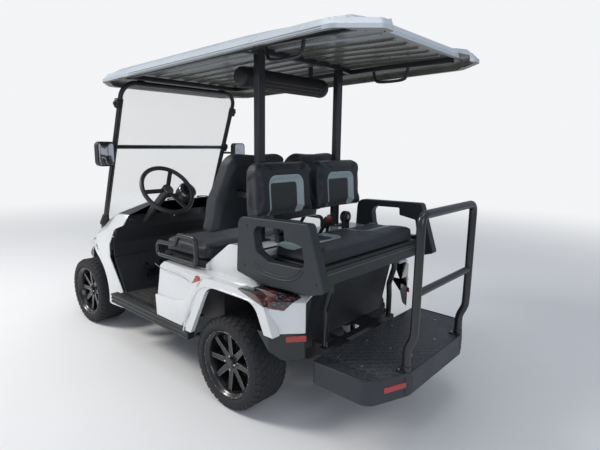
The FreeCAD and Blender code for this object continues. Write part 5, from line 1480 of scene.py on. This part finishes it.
@dataclass
class Pad:
    """A foam seat part, blown up as cloth from its solid and then sewn.

    The voxel is the mesh size, rise the most that a point may move, inward how much smaller
    the cloth starts, and soft the rounding of the block before it is blown up.
    """

    node: str
    body: str
    finish: SeatVinyl
    voxel: float
    rise: float
    inward: float
    soft: float
    fixed: Callable[[Vector], bool]
    paired: bool = False
    work: Optional[bpy.types.Object] = None

    def block(self) -> bpy.types.Mesh:
        """A rounded and remeshed copy of the solid.

        Returns:
            The mesh.
        """
        sculpt = Sculpt().node(self.node, left_only=self.paired)
        sculpt.bevel(sculpt.sharp(35.0), self.soft, 4)
        block = placed("pad", as_mesh("pad", sculpt.mesh))
        remesh = block.modifiers.new("remesh", "REMESH")
        remesh.mode = "VOXEL"
        remesh.voxel_size = self.voxel
        seen = block.evaluated_get(bpy.context.evaluated_depsgraph_get())
        cloth = bpy.data.meshes.new_from_object(seen)
        bpy.data.objects.remove(block)
        return cloth

    def start(self) -> None:
        """Make the cloth: a slightly smaller skin of the block, held at its fixed points."""
        cloth = self.block()
        mesh = bmesh.new()
        mesh.from_mesh(cloth)
        evened(mesh, 0.5)
        mesh.normal_update()
        still = [vert.index for vert in mesh.verts if self.fixed(vert.co)]
        shift_all(mesh, [vert.normal * -self.inward for vert in mesh.verts])
        mesh.to_mesh(cloth)
        mesh.free()
        self.work = placed("pad_cloth", cloth)
        self.work.vertex_groups.new(name="held").add(still, 1.0, "REPLACE")
        modifier = self.work.modifiers.new("cloth", "CLOTH")
        for name, value in CLOTH.items():
            setattr(modifier.settings, name, value)
        modifier.settings.effector_weights.gravity = 0.0
        modifier.point_cache.frame_end = CLOTH_FRAMES + 2

    def sewn(self, spot: Vector, normal: Vector) -> float:
        """How far a point sinks for the panel, the seams and the creases of use.

        Args:
            spot: The point.
            normal: The surface's direction there.

        Returns:
            Depth in metres.
        """
        stripe = self.finish.stripe
        sink = 0.0
        if stripe is not None:
            outer, inner = stripe.fields(spot)
            looks = (normal.x if stripe.upright else normal.z) * stripe.facing
            front = min(1.0, max(0.0, (looks - 0.15) / 0.45))
            depth = min(1.0, max(0.0, -outer / stripe.side_band))
            depth = depth * depth * (3 - 2 * depth)
            seam = (math.exp(-(outer / SEAM_WIDTH) ** 2)
                    + 0.7 * math.exp(-(inner / SEAM_WIDTH) ** 2))
            sink += front * (stripe.slope * depth + SEAM_DEPTH * seam)
        crease = noise.noise(Vector((spot.x * 9.0, spot.y * 5.0, spot.z * 9.0)))
        ripple = noise.noise(Vector((spot.x * 26.0, spot.y * 11.0, spot.z * 20.0 + 5.0)))
        return sink + CREASE_DEPTH * crease + RIPPLE_DEPTH * ripple

    def finish_piece(self) -> None:
        """Take the settled cloth, cap its movement, sew it and dress it."""
        rest = [vert.co.copy() for vert in self.work.data.vertices]
        seen = self.work.evaluated_get(bpy.context.evaluated_depsgraph_get())
        data = bpy.data.meshes.new_from_object(seen)
        mesh = bmesh.new()
        mesh.from_mesh(data)
        mesh.verts.ensure_lookup_table()
        for vert, start in zip(mesh.verts, rest):
            step = vert.co - start
            if step.length > self.rise:
                vert.co = start + step * (self.rise / step.length)
        evened(mesh, 0.4)
        sculpt = Sculpt()
        sculpt.mesh.free()
        sculpt.mesh = mesh
        if self.paired:
            sculpt.both()
        mesh.normal_update()
        shift_all(mesh, [vert.normal * -self.sewn(vert.co, vert.normal) for vert in mesh.verts])
        bpy.data.objects.remove(self.work)
        made = sculpt.piece(f"{self.node}_pad", self.finish, body=self.body, replaces=[self.node],
                            angle=180.0)
        finer = made.modifiers.new("finer", "SUBSURF")
        finer.levels = 1
        finer.render_levels = 1


@dataclass
class Seating:
    """Front and rear cushions and backs, with the belts' buckles and reels."""

    def pads(self) -> list[Pad]:
        """The four soft parts.

        Returns:
            The pads.
        """
        return [
            Pad("front_cushion", "chassis", striped("front_seat_vinyl", FRONT_SEAT), 0.0095,
                0.012, 0.004, 0.018, lambda spot: spot.z < 0.706),
            Pad("front_seat_backs", "chassis", striped("front_back_vinyl", FRONT_BACK), 0.0085,
                0.012, 0.004, 0.022, lambda spot: False, True),
            Pad("rear_cushion", "rear_seat", striped("rear_seat_vinyl", REAR_SEAT), 0.0085,
                0.009, 0.004, 0.016, lambda spot: spot.z < 0.809),
            Pad("rear_seat_backs", "chassis", striped("rear_back_vinyl", REAR_BACK), 0.0070,
                0.010, 0.003, 0.015, lambda spot: spot.x > -0.566, True),
        ]

    def soft_parts(self) -> None:
        """Blow all pads up together and finish them."""
        pads = self.pads()
        for pad in pads:
            pad.start()
        for number in range(1, CLOTH_FRAMES + 1):
            bpy.context.scene.frame_set(number)
        for pad in pads:
            pad.finish_piece()
        bpy.context.scene.frame_set(1)

    def belts(self) -> None:
        """Buckles between the rear seats and the reels behind them."""
        buckles = Sculpt()
        for y, x, tilt in ((0.030, -0.742, 0.25), (-0.034, -0.735, -0.3)):
            stalk = Sculpt().block((-0.003, -0.013, -0.06), (0.003, 0.013, 0.03), 0.001)
            head = Sculpt().block((-0.010, -0.017, 0.02), (0.010, 0.017, 0.082), 0.005, 3)
            button = Sculpt(1).block((-0.0112, -0.012, 0.060), (0.0112, 0.012, 0.0835), 0.002)
            plate = Sculpt(2).block((-0.0016, -0.011, 0.080), (0.0016, 0.011, 0.100), 0.0005)
            stalk.join(head, button, plate)
            stalk.move(moved(x + 0.03, y, 0.870) @ turned("X", tilt)
                       @ turned("Y", -0.35))
            buckles.join(stalk)
        buckles.piece("rear_buckles", BLACK, BUTTON, CHROME, slot="tube_paint")
        reels = Sculpt()
        reels.drum((-0.645, 0.285, 0.905), (1, 0, 0), 0.036, 0.034, 0.004, 32)
        reels.block((-0.662, 0.265, 0.834), (-0.630, 0.305, 0.888), 0.003)
        reels.join(Sculpt(1).drum((-0.6635, 0.285, 0.905), (1, 0, 0), 0.014, 0.004, 0.001, 20))
        reels.both().piece("belt_reels", BLACK, STEEL)

    def build(self) -> None:
        """All seating."""
        self.soft_parts()
        self.belts()


@dataclass
class RearBench:
    """Tray, armrests, the brackets and the tubes of the rear seat."""

    outer: float = 0.524

    def tray(self) -> None:
        """The tray with its front lip, the seat board, and a pale strip on its parting line, a
        painted highlight.
        """
        softened("rear_seat_tray", BLACK_OLIVE, 0.004)
        softened("rear_seat_board", BLACK, 0.003, body="rear_seat")
        # a thin ridge on the parting line, coloured pale as a painted highlight
        line = Sculpt().block((-1.0526, -0.4735, 0.7655), (-1.0500, 0.4735, 0.7685), 0.0008)
        line.piece("tray_painted_highlight_line", PARTING_HIGHLIGHT)

    def armrests(self) -> None:
        """Armrests with the sunk sweep along their low edge, and their screws."""
        softened("rear_armrests", SLATE, 0.009, 3)
        y = self.outer
        sweep = Sculpt()
        sweep.rope([(-0.700, y, 0.772), (-0.745, y, 0.748), (-0.810, y, 0.739),
                    (-0.886, y, 0.737), (-0.950, y, 0.748), (-0.995, y, 0.775),
                    (-1.015, y, 0.806)], 0.0035)
        sweep.rope([(-0.715, y, 0.790), (-0.760, y, 0.762), (-0.815, y, 0.753),
                    (-0.886, y, 0.752), (-0.940, y, 0.762), (-0.980, y, 0.785),
                    (-1.000, y, 0.808)], 0.0026)
        sweep.both().piece("armrest_sweep", SLATE)
        screws = Sculpt()
        for x, z in ((-0.640, 0.760), (-1.085, 0.760), (-0.660, 0.955)):
            screws.drum((x, y - 0.001, z), (0, 1, 0), 0.0065, 0.006, 0.0012, 16)
        screws.both().piece("armrest_screws", TUBE)

    def build(self) -> None:
        """All of the bench's hard parts."""
        self.tray()
        self.armrests()
        softened("rear_seat_frame", TUBE)
        softened("seat_back_brackets", TUBE, 0.002)
        softened("rear_enclosure", BLACK, 0.003)


@dataclass
class Bodywork:
    """White rear moulding and cowl, sills, bumpers, lamps and reflectors."""

    flare: float = 0.610
    arch_centre: Pair = (1.088, 0.268)
    arch_radius: float = 0.306
    lens_skin: float = 0.006
    grille_bars: int = 5
    sill_ribs: int = 5
    lens_inside: Triple = (-0.80, 0.40, 0.56)
    lens_cuts: tuple[tuple[Triple, Triple], ...] = (
        ((-0.700, 0.0, 0.676), (0.287, 0.0, -0.958)), ((-0.930, 0.0, 0.622), (-0.779, 0.0, -0.627)),
        ((0.0, 0.470, 0.0), (0.0, -1.0, 0.0)), ((-0.700, 0.600, 0.0), (0.987, 0.160, 0.0)))

    def rear(self) -> None:
        """Rear moulding with its flare lines, ledge and side marker."""
        softened("rear_body", TUB, 0.007, 3)
        lines = Sculpt()
        arch = [(-0.231, 0.346), (-0.250, 0.420), (-0.330, 0.560), (-0.395, 0.628),
                (-0.480, 0.646), (-0.600, 0.648), (-0.745, 0.646), (-0.800, 0.640)]
        y = self.flare
        lines.rope([(x - 0.012, y - 0.001, z - 0.008) for x, z in arch], 0.0042)
        lines.both().piece("flare_lines", BODY)
        ledge = Sculpt()
        ledge.plate([(-0.205, 0.350, 0.004), (0.040, 0.350, 0.004), (0.050, 0.474, 0.010),
                     (-0.117, 0.477, 0.030), (-0.244, 0.509, 0.030), (-0.315, 0.586, 0.020),
                     (-0.372, 0.639, 0.006), (-0.402, 0.612, 0.006), (-0.330, 0.498, 0.010)],
                    0.584, 0.5965, Plane.SIDE, 0.004, 3)
        ledge.both().piece("side_ledge", BODY)
        seam = Sculpt()
        seam.rope([(0.030, 0.5990, 0.660), (0.000, 0.5995, 0.640), (-0.250, 0.5960, 0.640),
                   (-0.300, 0.6000, 0.620)], 0.0016)
        seam.both().piece("side_seam", BODY_LOW)
        marker = Sculpt().plate([(-0.335, 0.622, 0.003), (-0.402, 0.650, 0.003),
                                 (-0.402, 0.672, 0.003), (-0.372, 0.672, 0.003)],
                                0.6080, 0.6125, Plane.SIDE, 0.001)
        marker.both().piece("side_markers", RED)

    def tail(self) -> None:
        """Tail lamps as a skin over the body's corners, and the rear bumper's corners."""
        lens = Sculpt().node("rear_body", left_only=True)
        for point, normal in self.lens_cuts:
            lens.trim(point, normal)
        middle = Vector(self.lens_inside)
        lens.mesh.normal_update()
        hidden = [face for face in lens.mesh.faces
                  if face.normal.dot(face.calc_center_median() - middle) < 0.0]
        bmesh.ops.delete(lens.mesh, geom=hidden, context="FACES")
        made = lens.both().piece("tail_lenses", TAIL, replaces=["tail_lamps"])
        skin = made.modifiers.new("skin", "SOLIDIFY")
        skin.thickness = self.lens_skin
        skin.offset = 1.0
        skin.use_even_offset = True
        rounded(made, 0.0015)
        softened("rear_bumper", BLACK_OLIVE, 0.004)
        strips = Sculpt().block((-0.003, -0.068, -0.014), (0.003, 0.068, 0.014), 0.002, 3)
        strips.move(moved(-0.9440, 0.5145, 0.474) @ turned("Z", -0.86)
                    @ turned("X", -0.08))
        strips.both().piece("bumper_reflectors", RED)

    def front(self) -> None:
        """Cowl, headlamps with rings, front bumper, nose grille and the cowl's creases."""
        softened("front_cowl", TUB, 0.007, 3)
        softened("headlamps", LAMP, 0.003)
        softened("front_bumper", BLACK, 0.008, 3)
        rings = Sculpt().lathe([(-0.004, 0.044), (0.002, 0.052), (0.008, 0.050),
                                (0.004, 0.042)], 48,
                               turn=moved(1.424, 0.225, 0.455)
                               @ turned("Z", -math.pi / 2))
        rings.both().piece("headlamp_rings", CHROME)
        brow = Sculpt()
        brow.rope([(0.700, 0.5080, 0.700), (0.820, 0.5180, 0.672), (1.000, 0.4850, 0.655),
                   (1.180, 0.4350, 0.610), (1.330, 0.3900, 0.545)], 0.0040)
        brow.both().piece("cowl_brow", BODY)
        arch = Sculpt()
        turns = [math.radians(degrees) for degrees in range(14, 167, 19)]
        points = [(self.arch_centre[0] + self.arch_radius * math.cos(angle),
                   self.arch_centre[1] + self.arch_radius * math.sin(angle)) for angle in turns]
        arch.rope([(x, 0.4995 - 0.36 * max(0.0, x - 0.99) if x > 0.9 else 0.508, z)
                   for x, z in points], 0.008)
        arch.both().piece("front_arch_lips", BODY)
        grille = Sculpt()
        for row in range(self.grille_bars):
            z = 0.352 + row * 0.017
            grille.block((1.404, -0.190, z), (1.4245, 0.190, z + 0.009), 0.002)
        grille.piece("nose_grille", BLACK)

    def sills(self) -> None:
        """Grooved sills with a ribbed wear strip on the top edge."""
        softened("sill_trims", BLACK_OLIVE, 0.0012)
        strip = Sculpt().block((-0.255, 0.5520, 0.3450), (0.595, 0.5900, 0.3475), 0.001)
        for row in range(self.sill_ribs):
            y = 0.557 + row * 0.0068
            strip.block((-0.250, y, 0.3472), (0.590, y + 0.003, 0.3490), 0.0008, 1)
        strip.both().piece("sill_wear_strips", BLACK_OLIVE)

    def build(self) -> None:
        """All of the body."""
        self.rear()
        self.tail()
        self.front()
        self.sills()


@dataclass
class Step:
    """Footplate and grab bar with their hardware."""

    top: float = 0.385
    bar_x: float = -1.385
    bar_y: float = 0.270

    def bar(self) -> None:
        """Grab bar: one bent tube with a cross tube."""
        bar = Sculpt()
        side = [(-1.385, 0.270, 0.386), (-1.385, 0.270, 0.450), (-1.387, 0.270, 0.490),
                (-1.412, 0.270, 0.540), (-1.415, 0.270, 0.580), (-1.415, 0.270, 0.970),
                (-1.415, 0.270, 1.062), (-1.415, 0.180, 1.062)]
        bar.rope(side + [(x, -y, z) for x, y, z in reversed(side)], 0.0185, 6)
        bar.rope([(-1.413, -0.268, 0.735), (-1.413, 0.268, 0.735)], 0.016, 6, smooth=False)
        bar.piece("grab_bar_tube", TUBE, replaces=["grab_bar"])

    def top_side(self) -> None:
        """Raised rim and screws of the plate."""
        edge = Sculpt()
        edge.rope([(-1.036, 0.4705, 0.3840), (-1.270, 0.4705, 0.3840), (-1.318, 0.4600, 0.3840),
                   (-1.345, 0.4230, 0.3840), (-1.392, 0.3000, 0.3840), (-1.4040, 0.2600, 0.3840),
                   (-1.4045, 0.0, 0.3840)], 0.0040)
        edge.both().piece("footplate_rim", BLACK_OLIVE)
        screws = Sculpt()
        for x, y in ((-1.09, 0.36), (-1.09, 0.12), (-1.22, 0.36), (-1.22, 0.12),
                     (-1.33, 0.12)):
            screws.drum((x, y, self.top + 0.0006), (0, 0, 1), 0.0068, 0.004, 0.0010, 16)
        screws.both().piece("footplate_screws", STEEL)

    def feet(self) -> None:
        """Foot plates and collars of the grab bar, with their bolts."""
        x, y, top = self.bar_x, self.bar_y, self.top
        feet = Sculpt().block((x - 0.014, y - 0.030, top), (x + 0.034, y + 0.030, top + 0.006),
                              0.002)
        feet.drum((x, y, top + 0.015), (0, 0, 1), 0.0215, 0.026, 0.003, 32)
        bolt = Sculpt(1)
        for side in (-1, 1):
            bolt.drum((x + 0.024, y + side * 0.020, top + 0.009), (0, 0, 1), 0.0058, 0.007,
                      0.001, 6)
        feet.join(bolt)
        feet.both().piece("grab_bar_feet", TUBE, STEEL)

    def skirt(self) -> None:
        """Slots and reflectors in the plate's skirt."""
        slots = Sculpt()
        for y, low in ((0.247, -1.4088), (0.290, -1.3938)):
            slots.block((low, y, 0.292), (-1.4000, y + 0.008, 0.370), 0.002)
        slots.both().piece("skirt_slots", TRIM, slot="tube_paint")
        reflector = Sculpt().block((-0.0030, -0.058, -0.013), (0.0030, 0.058, 0.013), 0.002, 3)
        reflector.move(moved(-1.3785, 0.3450, 0.337) @ turned("Z", -0.372))
        reflector.both().piece("footplate_reflectors", RED)

    def build(self) -> None:
        """Footplate and grab bar."""
        softened("footplate", DECK, 0.004, 3)
        self.bar()
        self.top_side()
        self.feet()
        self.skirt()


@dataclass
class Canopy:
    """Roof, rails, posts, grips and the overhead speaker bar."""

    tilt: float = math.radians(1.79)
    under: float = 1.7037
    bar_x: float = -0.405
    bar_z: float = 1.668
    crown: float = 0.047
    bar_ribs: int = 44
    hanger: float = 0.22
    bolt_rows: Pair = (-0.565, -0.505)
    across_cuts: tuple[float, ...] = (0.33, 0.36, 0.39, 0.45, 0.48, 0.51, 0.54, 0.57)
    along_cuts: tuple[float, ...] = (0.67, 0.62, 0.57, 0.52, -0.60, -0.75, -0.90, -1.05, -1.20,
                                     -1.22, -1.24)

    def level(self, x: float) -> float:
        """Height of the roof's lower edge at a place along the cart."""
        return self.under - x * math.tan(self.tilt)

    def lift(self, x: float, y: float) -> float:
        """How far the crowned roof stands above the solid's flat one at a place.

        Args:
            x: Place along the cart.
            y: Place across the cart.

        Returns:
            The rise in metres.
        """
        narrow = eased(-x, 1.20, 1.24)
        across = 1.0 - eased(abs(y), 0.45 - 0.12 * narrow, 0.57 - 0.18 * narrow)
        ahead = 1.0 - eased(x, 0.52, 0.72)
        behind = 1.0 - 0.6 * eased(-x, 0.60, 1.25)
        return self.crown * across * ahead * behind

    def rail_low(self, x: float) -> float:
        """Height of the rails' lower faces at a place along the cart."""
        return self.level(x) + self.crown * (1.0 - 0.31 * eased(-x, 0.60, 1.25)) - 0.016

    def roof(self) -> None:
        """The crowned roof."""
        shell = Sculpt().node("roof", flat=0.0)
        shell.cut(1, [sign * y for sign in (1, -1) for y in self.across_cuts])
        shell.cut(0, self.along_cuts)
        shell.bend(lambda spot: (0.0, 0.0, self.lift(spot.x, spot.y)))
        made = shell.piece("roof_skin", SHELL, replaces=["roof"])
        rounded(made, 0.006, 3)

    def rails(self) -> None:
        """Rails and cross tubes under the roof, with the hand grips."""
        rails = Sculpt().block((-1.185, 0.426, 0.0), (0.545, 0.454, 0.028), 0.003)
        rails.cut(0, self.along_cuts).bend(lambda spot: (0.0, 0.0, self.rail_low(spot.x)))
        rails.both()
        for x, rise in ((0.517, 0.0), (-0.535, 0.014)):
            low = self.rail_low(x)
            outline = [(-0.440, 0.0), (-0.320, rise), (0.320, rise), (0.440, 0.0),
                       (0.440, 0.028), (0.320, rise + 0.028), (-0.320, rise + 0.028),
                       (-0.440, 0.028)]
            rails.plate([(y, low + z, 0.0) for y, z in outline], x - 0.014, x + 0.014,
                        Plane.FRONT, 0.003)
        rails.piece("roof_rail_tubes", TUBE, replaces=["roof_rails"])
        grips = Sculpt()
        grips.rope([(-0.928, 0.440, 1.768), (-0.922, 0.440, 1.715), (-0.905, 0.440, 1.696),
                    (-0.820, 0.440, 1.693), (-0.735, 0.440, 1.695), (-0.712, 0.440, 1.713),
                    (-0.702, 0.440, 1.768)], 0.0085)
        grips.both().piece("roof_grip_bars", TUBE, replaces=["roof_grips"])

    def posts(self) -> None:
        """Rear posts, drawn up to the crowned roof."""
        posts = Sculpt().node("roof_posts")
        posts.bend(lambda spot: (0.0, 0.0, (self.crown + 0.014) * (spot.z > 1.6)))
        made = posts.piece("roof_post_tubes", TUBE, replaces=["roof_posts"])
        rounded(made, 0.004, 3)

    def trims(self) -> None:
        """Drip lines of the roof and the posts' bolts."""
        drip = Sculpt()
        for drop in (0.004, 0.013):
            line = [(0.690, 0.500), (0.560, 0.5905), (-0.30, 0.5905), (-1.140, 0.5905)]
            drip.rope([(x, y, self.level(x) + drop) for x, y in line], 0.0016)
        drip.both().piece("roof_drip_lines", BODY_LOW, slot="roof_plastic")
        bolts = Sculpt()
        for x in (-0.600, -0.470):
            bolts.drum((x, 0.440, self.rail_low(x) - 0.001), (0, 0, 1), 0.008, 0.005, 0.001, 6)
        for x in self.bolt_rows:
            for y in (0.292, 0.348):
                bolts.drum((x, y, 0.8465), (0, 0, 1), 0.0060, 0.006, 0.001, 6)
        bolts.both().piece("post_bolts", STEEL)

    def speaker(self) -> None:
        """Speaker bar: ribbed grille between rounded ends, with its two hangers."""
        place = moved(self.bar_x, 0.0, self.bar_z)
        profile: list[Pair] = [(-0.345, 0.0), (-0.345, 0.030), (-0.340, 0.043),
                               (-0.330, 0.050), (-0.312, 0.054), (-0.300, 0.0545)]
        for i in range(self.bar_ribs + 1):
            along = -0.290 + 0.580 * i / self.bar_ribs
            profile += [(along - 0.0042, 0.0500), (along - 0.0018, 0.0530),
                        (along + 0.0018, 0.0530), (along + 0.0042, 0.0500)]
        profile += [(-along, radius) for along, radius in reversed(profile[:6])]
        bar = Sculpt().lathe(profile, 48, closed=False, turn=place)
        dots = Sculpt(1)
        for i in range(-16, 17):
            for angle in (3.35, 3.75, 4.15):
                spot = Vector((math.cos(angle) * 0.0525, i * 0.0165, math.sin(angle) * 0.0525))
                dots.drum(Vector((self.bar_x, 0, self.bar_z)) + spot,
                          (spot.x, 0, spot.z), 0.0036, 0.003, 0.0006, 10)
        bar.join(dots)
        for side in (1, -1):
            y = side * self.hanger
            bar.block((self.bar_x - 0.012, y - 0.008, self.bar_z + 0.044),
                      (self.bar_x + 0.012, y + 0.008, self.level(self.bar_x) + 0.068), 0.002)
        bar.piece("speaker_bar", BLACK, GRILLE, replaces=["sound_bar"])

    def build(self) -> None:
        """All of the canopy."""
        self.roof()
        self.rails()
        self.posts()
        self.trims()
        self.speaker()


@dataclass
class Windscreen:
    """Windscreen frame, panes, edge strips, latches, boots and mirrors."""

    foot_x: float = 0.925
    foot_z: float = 0.752
    lean: float = math.radians(20.8)
    half: float = 0.458
    rise: Triple = (-0.0171, 0.0, 0.0449)
    split: Pair = (0.574, 0.596)
    latches: Pair = (0.585, 0.878)
    seal: float = 0.4405

    def on(self, along: float, across: float, proud: float = 0.0) -> Triple:
        """A point on the sloping frame.

        Args:
            along: Distance up the slope from the foot.
            across: Distance from the middle plane.
            proud: Distance ahead of the frame's plane.

        Returns:
            The point in the cart's frame.
        """
        return (self.foot_x - along * math.sin(self.lean) + proud * math.cos(self.lean), across,
                self.foot_z + along * math.cos(self.lean) + proud * math.sin(self.lean))

    def panes(self) -> None:
        """Frame and glass, drawn up to the crowned roof, with strips and seals."""
        for node, finish in (("windshield_frame", TUBE), ("windshield_glass", PANE)):
            taller = Sculpt().node(node)
            taller.bend(lambda spot: Vector(self.rise) * (spot.z > 1.53))
            taller.piece(f"{node}_skin", finish, replaces=[node])
        strips = Sculpt()
        for along in self.split:
            strips.rope([self.on(along, -0.442), self.on(along, 0.442)], 0.0034, smooth=False)
        strips.piece("pane_edge_strips", MACHINED, slot="tube_paint")
        seals = Sculpt()
        for start, end in ((0.570, 0.070), (0.602, 0.908)):
            seals.rope([self.on(start, self.seal), self.on(end, self.seal)], 0.0045,
                       smooth=False)
        seals.both().piece("pane_side_seals", TRIM, slot="tube_paint")

    def hardware(self) -> None:
        """Latches on the frame and the boots at its feet."""
        latches = Sculpt()
        for along in self.latches:
            x, y, z = self.on(along, self.half)
            pod = Sculpt().block((-0.020, -0.013, -0.030), (0.020, 0.030, 0.030), 0.008, 3)
            pod.drum((0.0, 0.034, 0.0), (0, 1, 0), 0.012, 0.012, 0.002, 20)
            pod.move(moved(x, y, z) @ turned("Y", -self.lean))
            latches.join(pod)
        latches.both().piece("windscreen_latches", BLACK)
        boots = Sculpt()
        boots.drum((0, 0, 0), (0, 0, 1), 0.034, 0.070, 0.004, 32, 0.021)
        boots.move(Matrix.Translation(self.on(0.040, self.half))
                   @ turned("Y", -self.lean))
        boots.both().piece("windscreen_boots", TRIM)

    def mirrors(self) -> None:
        """Mirrors with their glass."""
        softened("mirrors", BLACK, 0.008, 3)
        glass = Sculpt().plate([(0.508, 1.184, 0.020), (0.604, 1.184, 0.020),
                                (0.604, 1.326, 0.020), (0.508, 1.326, 0.020)], 0.6272, 0.6292,
                               Plane.FRONT, 0.0006)
        glass.both().piece("mirror_glass", CHROME, slot="black_plastic")

    def build(self) -> None:
        """Frame, glass and all hardware."""
        self.panes()
        self.hardware()
        self.mirrors()


@dataclass
class Cockpit:
    """Dashboard, steering, pedals, floor mat, seat base and hip restraints."""

    lean: float = math.radians(52.0)
    wheel: Triple = (0.372, 0.285, 1.028)
    gauge_y: float = 0.118
    ticks: int = 13
    mat_ribs: int = 24
    pedal_ribs: int = 5

    def slanted(self) -> Matrix:
        """Frame of the steering column: its Z axis points up out of the wheel."""
        return Matrix.Translation(self.wheel) @ turned("Y", -self.lean)

    def dash(self) -> None:
        """Dashboard with glove boxes, cup rings, key switch and selector."""
        softened("dashboard", DASH, 0.004, 3)
        doors = Sculpt()
        face = moved(0.648, 0.0, 0.845) @ turned("Y", -0.276)
        for y in (-0.320, -0.060):
            lid = Sculpt().block((-0.010, y - 0.105, -0.055), (0.002, y + 0.105, 0.045), 0.006,
                                 3)
            knob = Sculpt().block((-0.014, y - 0.022, 0.020), (-0.008, y + 0.022, 0.030), 0.002)
            doors.join(lid, knob)
        doors.move(face)
        doors.piece("glove_box_lids", DASH)
        cups = Sculpt()
        for y in (-0.190, 0.070):
            cups.lathe([(0.0, 0.038), (0.006, 0.041), (0.006, 0.045), (0.0, 0.047)], 40,
                       turn=moved(0.645, y, 0.922) @ TOWARDS_X)
        cups.piece("cup_rings", DASH)
        switches = Sculpt()
        for y in (0.075, 0.400):
            spot = face @ Vector((-0.006, y, -0.040))
            switches.drum(spot, (-1, 0, -0.28), 0.012, 0.014, 0.002, 24)
        switches.piece("dash_switches", CHROME, slot="dash_plastic")

    def steering(self) -> None:
        """Column, gauge with its chrome ring and marks, and the steering wheel."""
        softened("steering_column", DASH, 0.003, 3)
        softened("steering_wheel", DASH, 0.0, body="hand_wheel", angle=50.0)
        gauge = self.slanted() @ moved(0.0, self.gauge_y - self.wheel[1], -0.024)
        ring = Sculpt().lathe([(-0.002, 0.050), (0.006, 0.053), (0.006, 0.058),
                               (-0.004, 0.0625)], 48, turn=gauge @ TOWARDS_X)
        dial = Sculpt(1).lathe([(0.0005, 0.0), (0.0015, 0.051), (0.0, 0.051)], 48, closed=False,
                               turn=gauge @ TOWARDS_X)
        marks = Sculpt()
        for i in range(self.ticks):
            tick = Sculpt(2).block((-0.0008, 0.038, 0.0016), (0.0008, 0.046, 0.0022), 0.0001, 1)
            marks.join(tick.move(gauge @ turned("Z", math.radians(-135 + i * 22.5))))
        needle = Sculpt(3).block((-0.0009, -0.006, 0.0022), (0.0009, 0.034, 0.0030), 0.0003, 1)
        needle.move(gauge @ turned("Z", 2.1))
        ring.join(dial, marks, needle)
        ring.piece("gauge", CHROME, DIAL, MARK, BUTTON, slot="dash_plastic")
        hub = Sculpt().lathe([(0.0062, 0.0), (0.0062, 0.030), (0.0100, 0.028), (0.0120, 0.018),
                              (0.0120, 0.0)], 40, closed=False,
                             turn=self.slanted() @ TOWARDS_X)
        hub.piece("wheel_hub_cap", STEEL, body="hand_wheel", slot="dash_plastic")

    def floor(self) -> None:
        """Floor with its ribbed mat, and the pedals."""
        softened("floor_pan", BLACK, 0.003)
        mat = Sculpt()
        mat.block((0.060, -0.500, 0.330), (0.570, 0.500, 0.3335), 0.0015)
        for i in range(self.mat_ribs):
            y = -0.480 + i * 0.0405
            mat.block((0.075, y, 0.3330), (0.555, y + 0.018, 0.3362), 0.0010, 1)
        mat.piece("floor_mat", TRIM)
        softened("pedals", TUBE, 0.002)
        ribs = Sculpt()
        for middle in (0.165, 0.285):
            for i in range(self.pedal_ribs):
                z = 0.400 + i * 0.016
                x = 0.606 + (z - 0.395) * 0.52
                ribs.block((x - 0.022, middle - 0.030, z), (x - 0.014, middle + 0.030, z + 0.006),
                           0.001)
        ribs.piece("pedal_ribs", TRIM, slot="tube_paint")

    def seat_base(self) -> None:
        """Front seat base, hip restraints and the panelled apron."""
        softened("front_seat_base", BLACK, 0.004)
        softened("hip_restraints", TUBE)
        apron = Sculpt().plate([(-0.495, 0.331, 0.01), (0.495, 0.331, 0.01),
                                (0.495, 0.667, 0.02), (-0.495, 0.667, 0.02)], 0.018, 0.026,
                               Plane.FRONT, 0.003)
        for y in (-0.24, 0.24):
            apron.plate([(y - 0.17, 0.400, 0.03), (y + 0.17, 0.400, 0.03),
                         (y + 0.17, 0.600, 0.03), (y - 0.17, 0.600, 0.03)], 0.024, 0.031,
                        Plane.FRONT, 0.004, 3)
        apron.piece("seat_apron", BLACK)

    def build(self) -> None:
        """All of the cockpit."""
        self.dash()
        self.steering()
        self.floor()
        self.seat_base()


@dataclass
class RunningGear:
    """Chassis parts that keep their solids, with their finishes."""

    def build(self) -> None:
        """Frame, axles, springs, knuckles, rod and battery."""
        softened("frame", FRAME)
        softened("rear_axle", IRON)
        softened("front_suspension", IRON)
        softened("knuckle_left", IRON, body="steer_knuckle_left")
        softened("knuckle_right", IRON, body="steer_knuckle_right")
        softened("tie_rod", IRON, body="steer_rod")
        softened("battery_pack", CASE, 0.0015)


def main() -> None:
    """Build the classes in order; each piece logs its face count."""
    logging.basicConfig(level=logging.INFO, format="%(name)s %(message)s")
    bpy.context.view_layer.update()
    Studio().build()
    RunningGear().build()
    Bodywork().build()
    Step().build()
    RearBench().build()
    Canopy().build()
    Windscreen().build()
    Cockpit().build()
    Wheels().build()
    Seating().build()


if __name__ == "__main__":
    main()
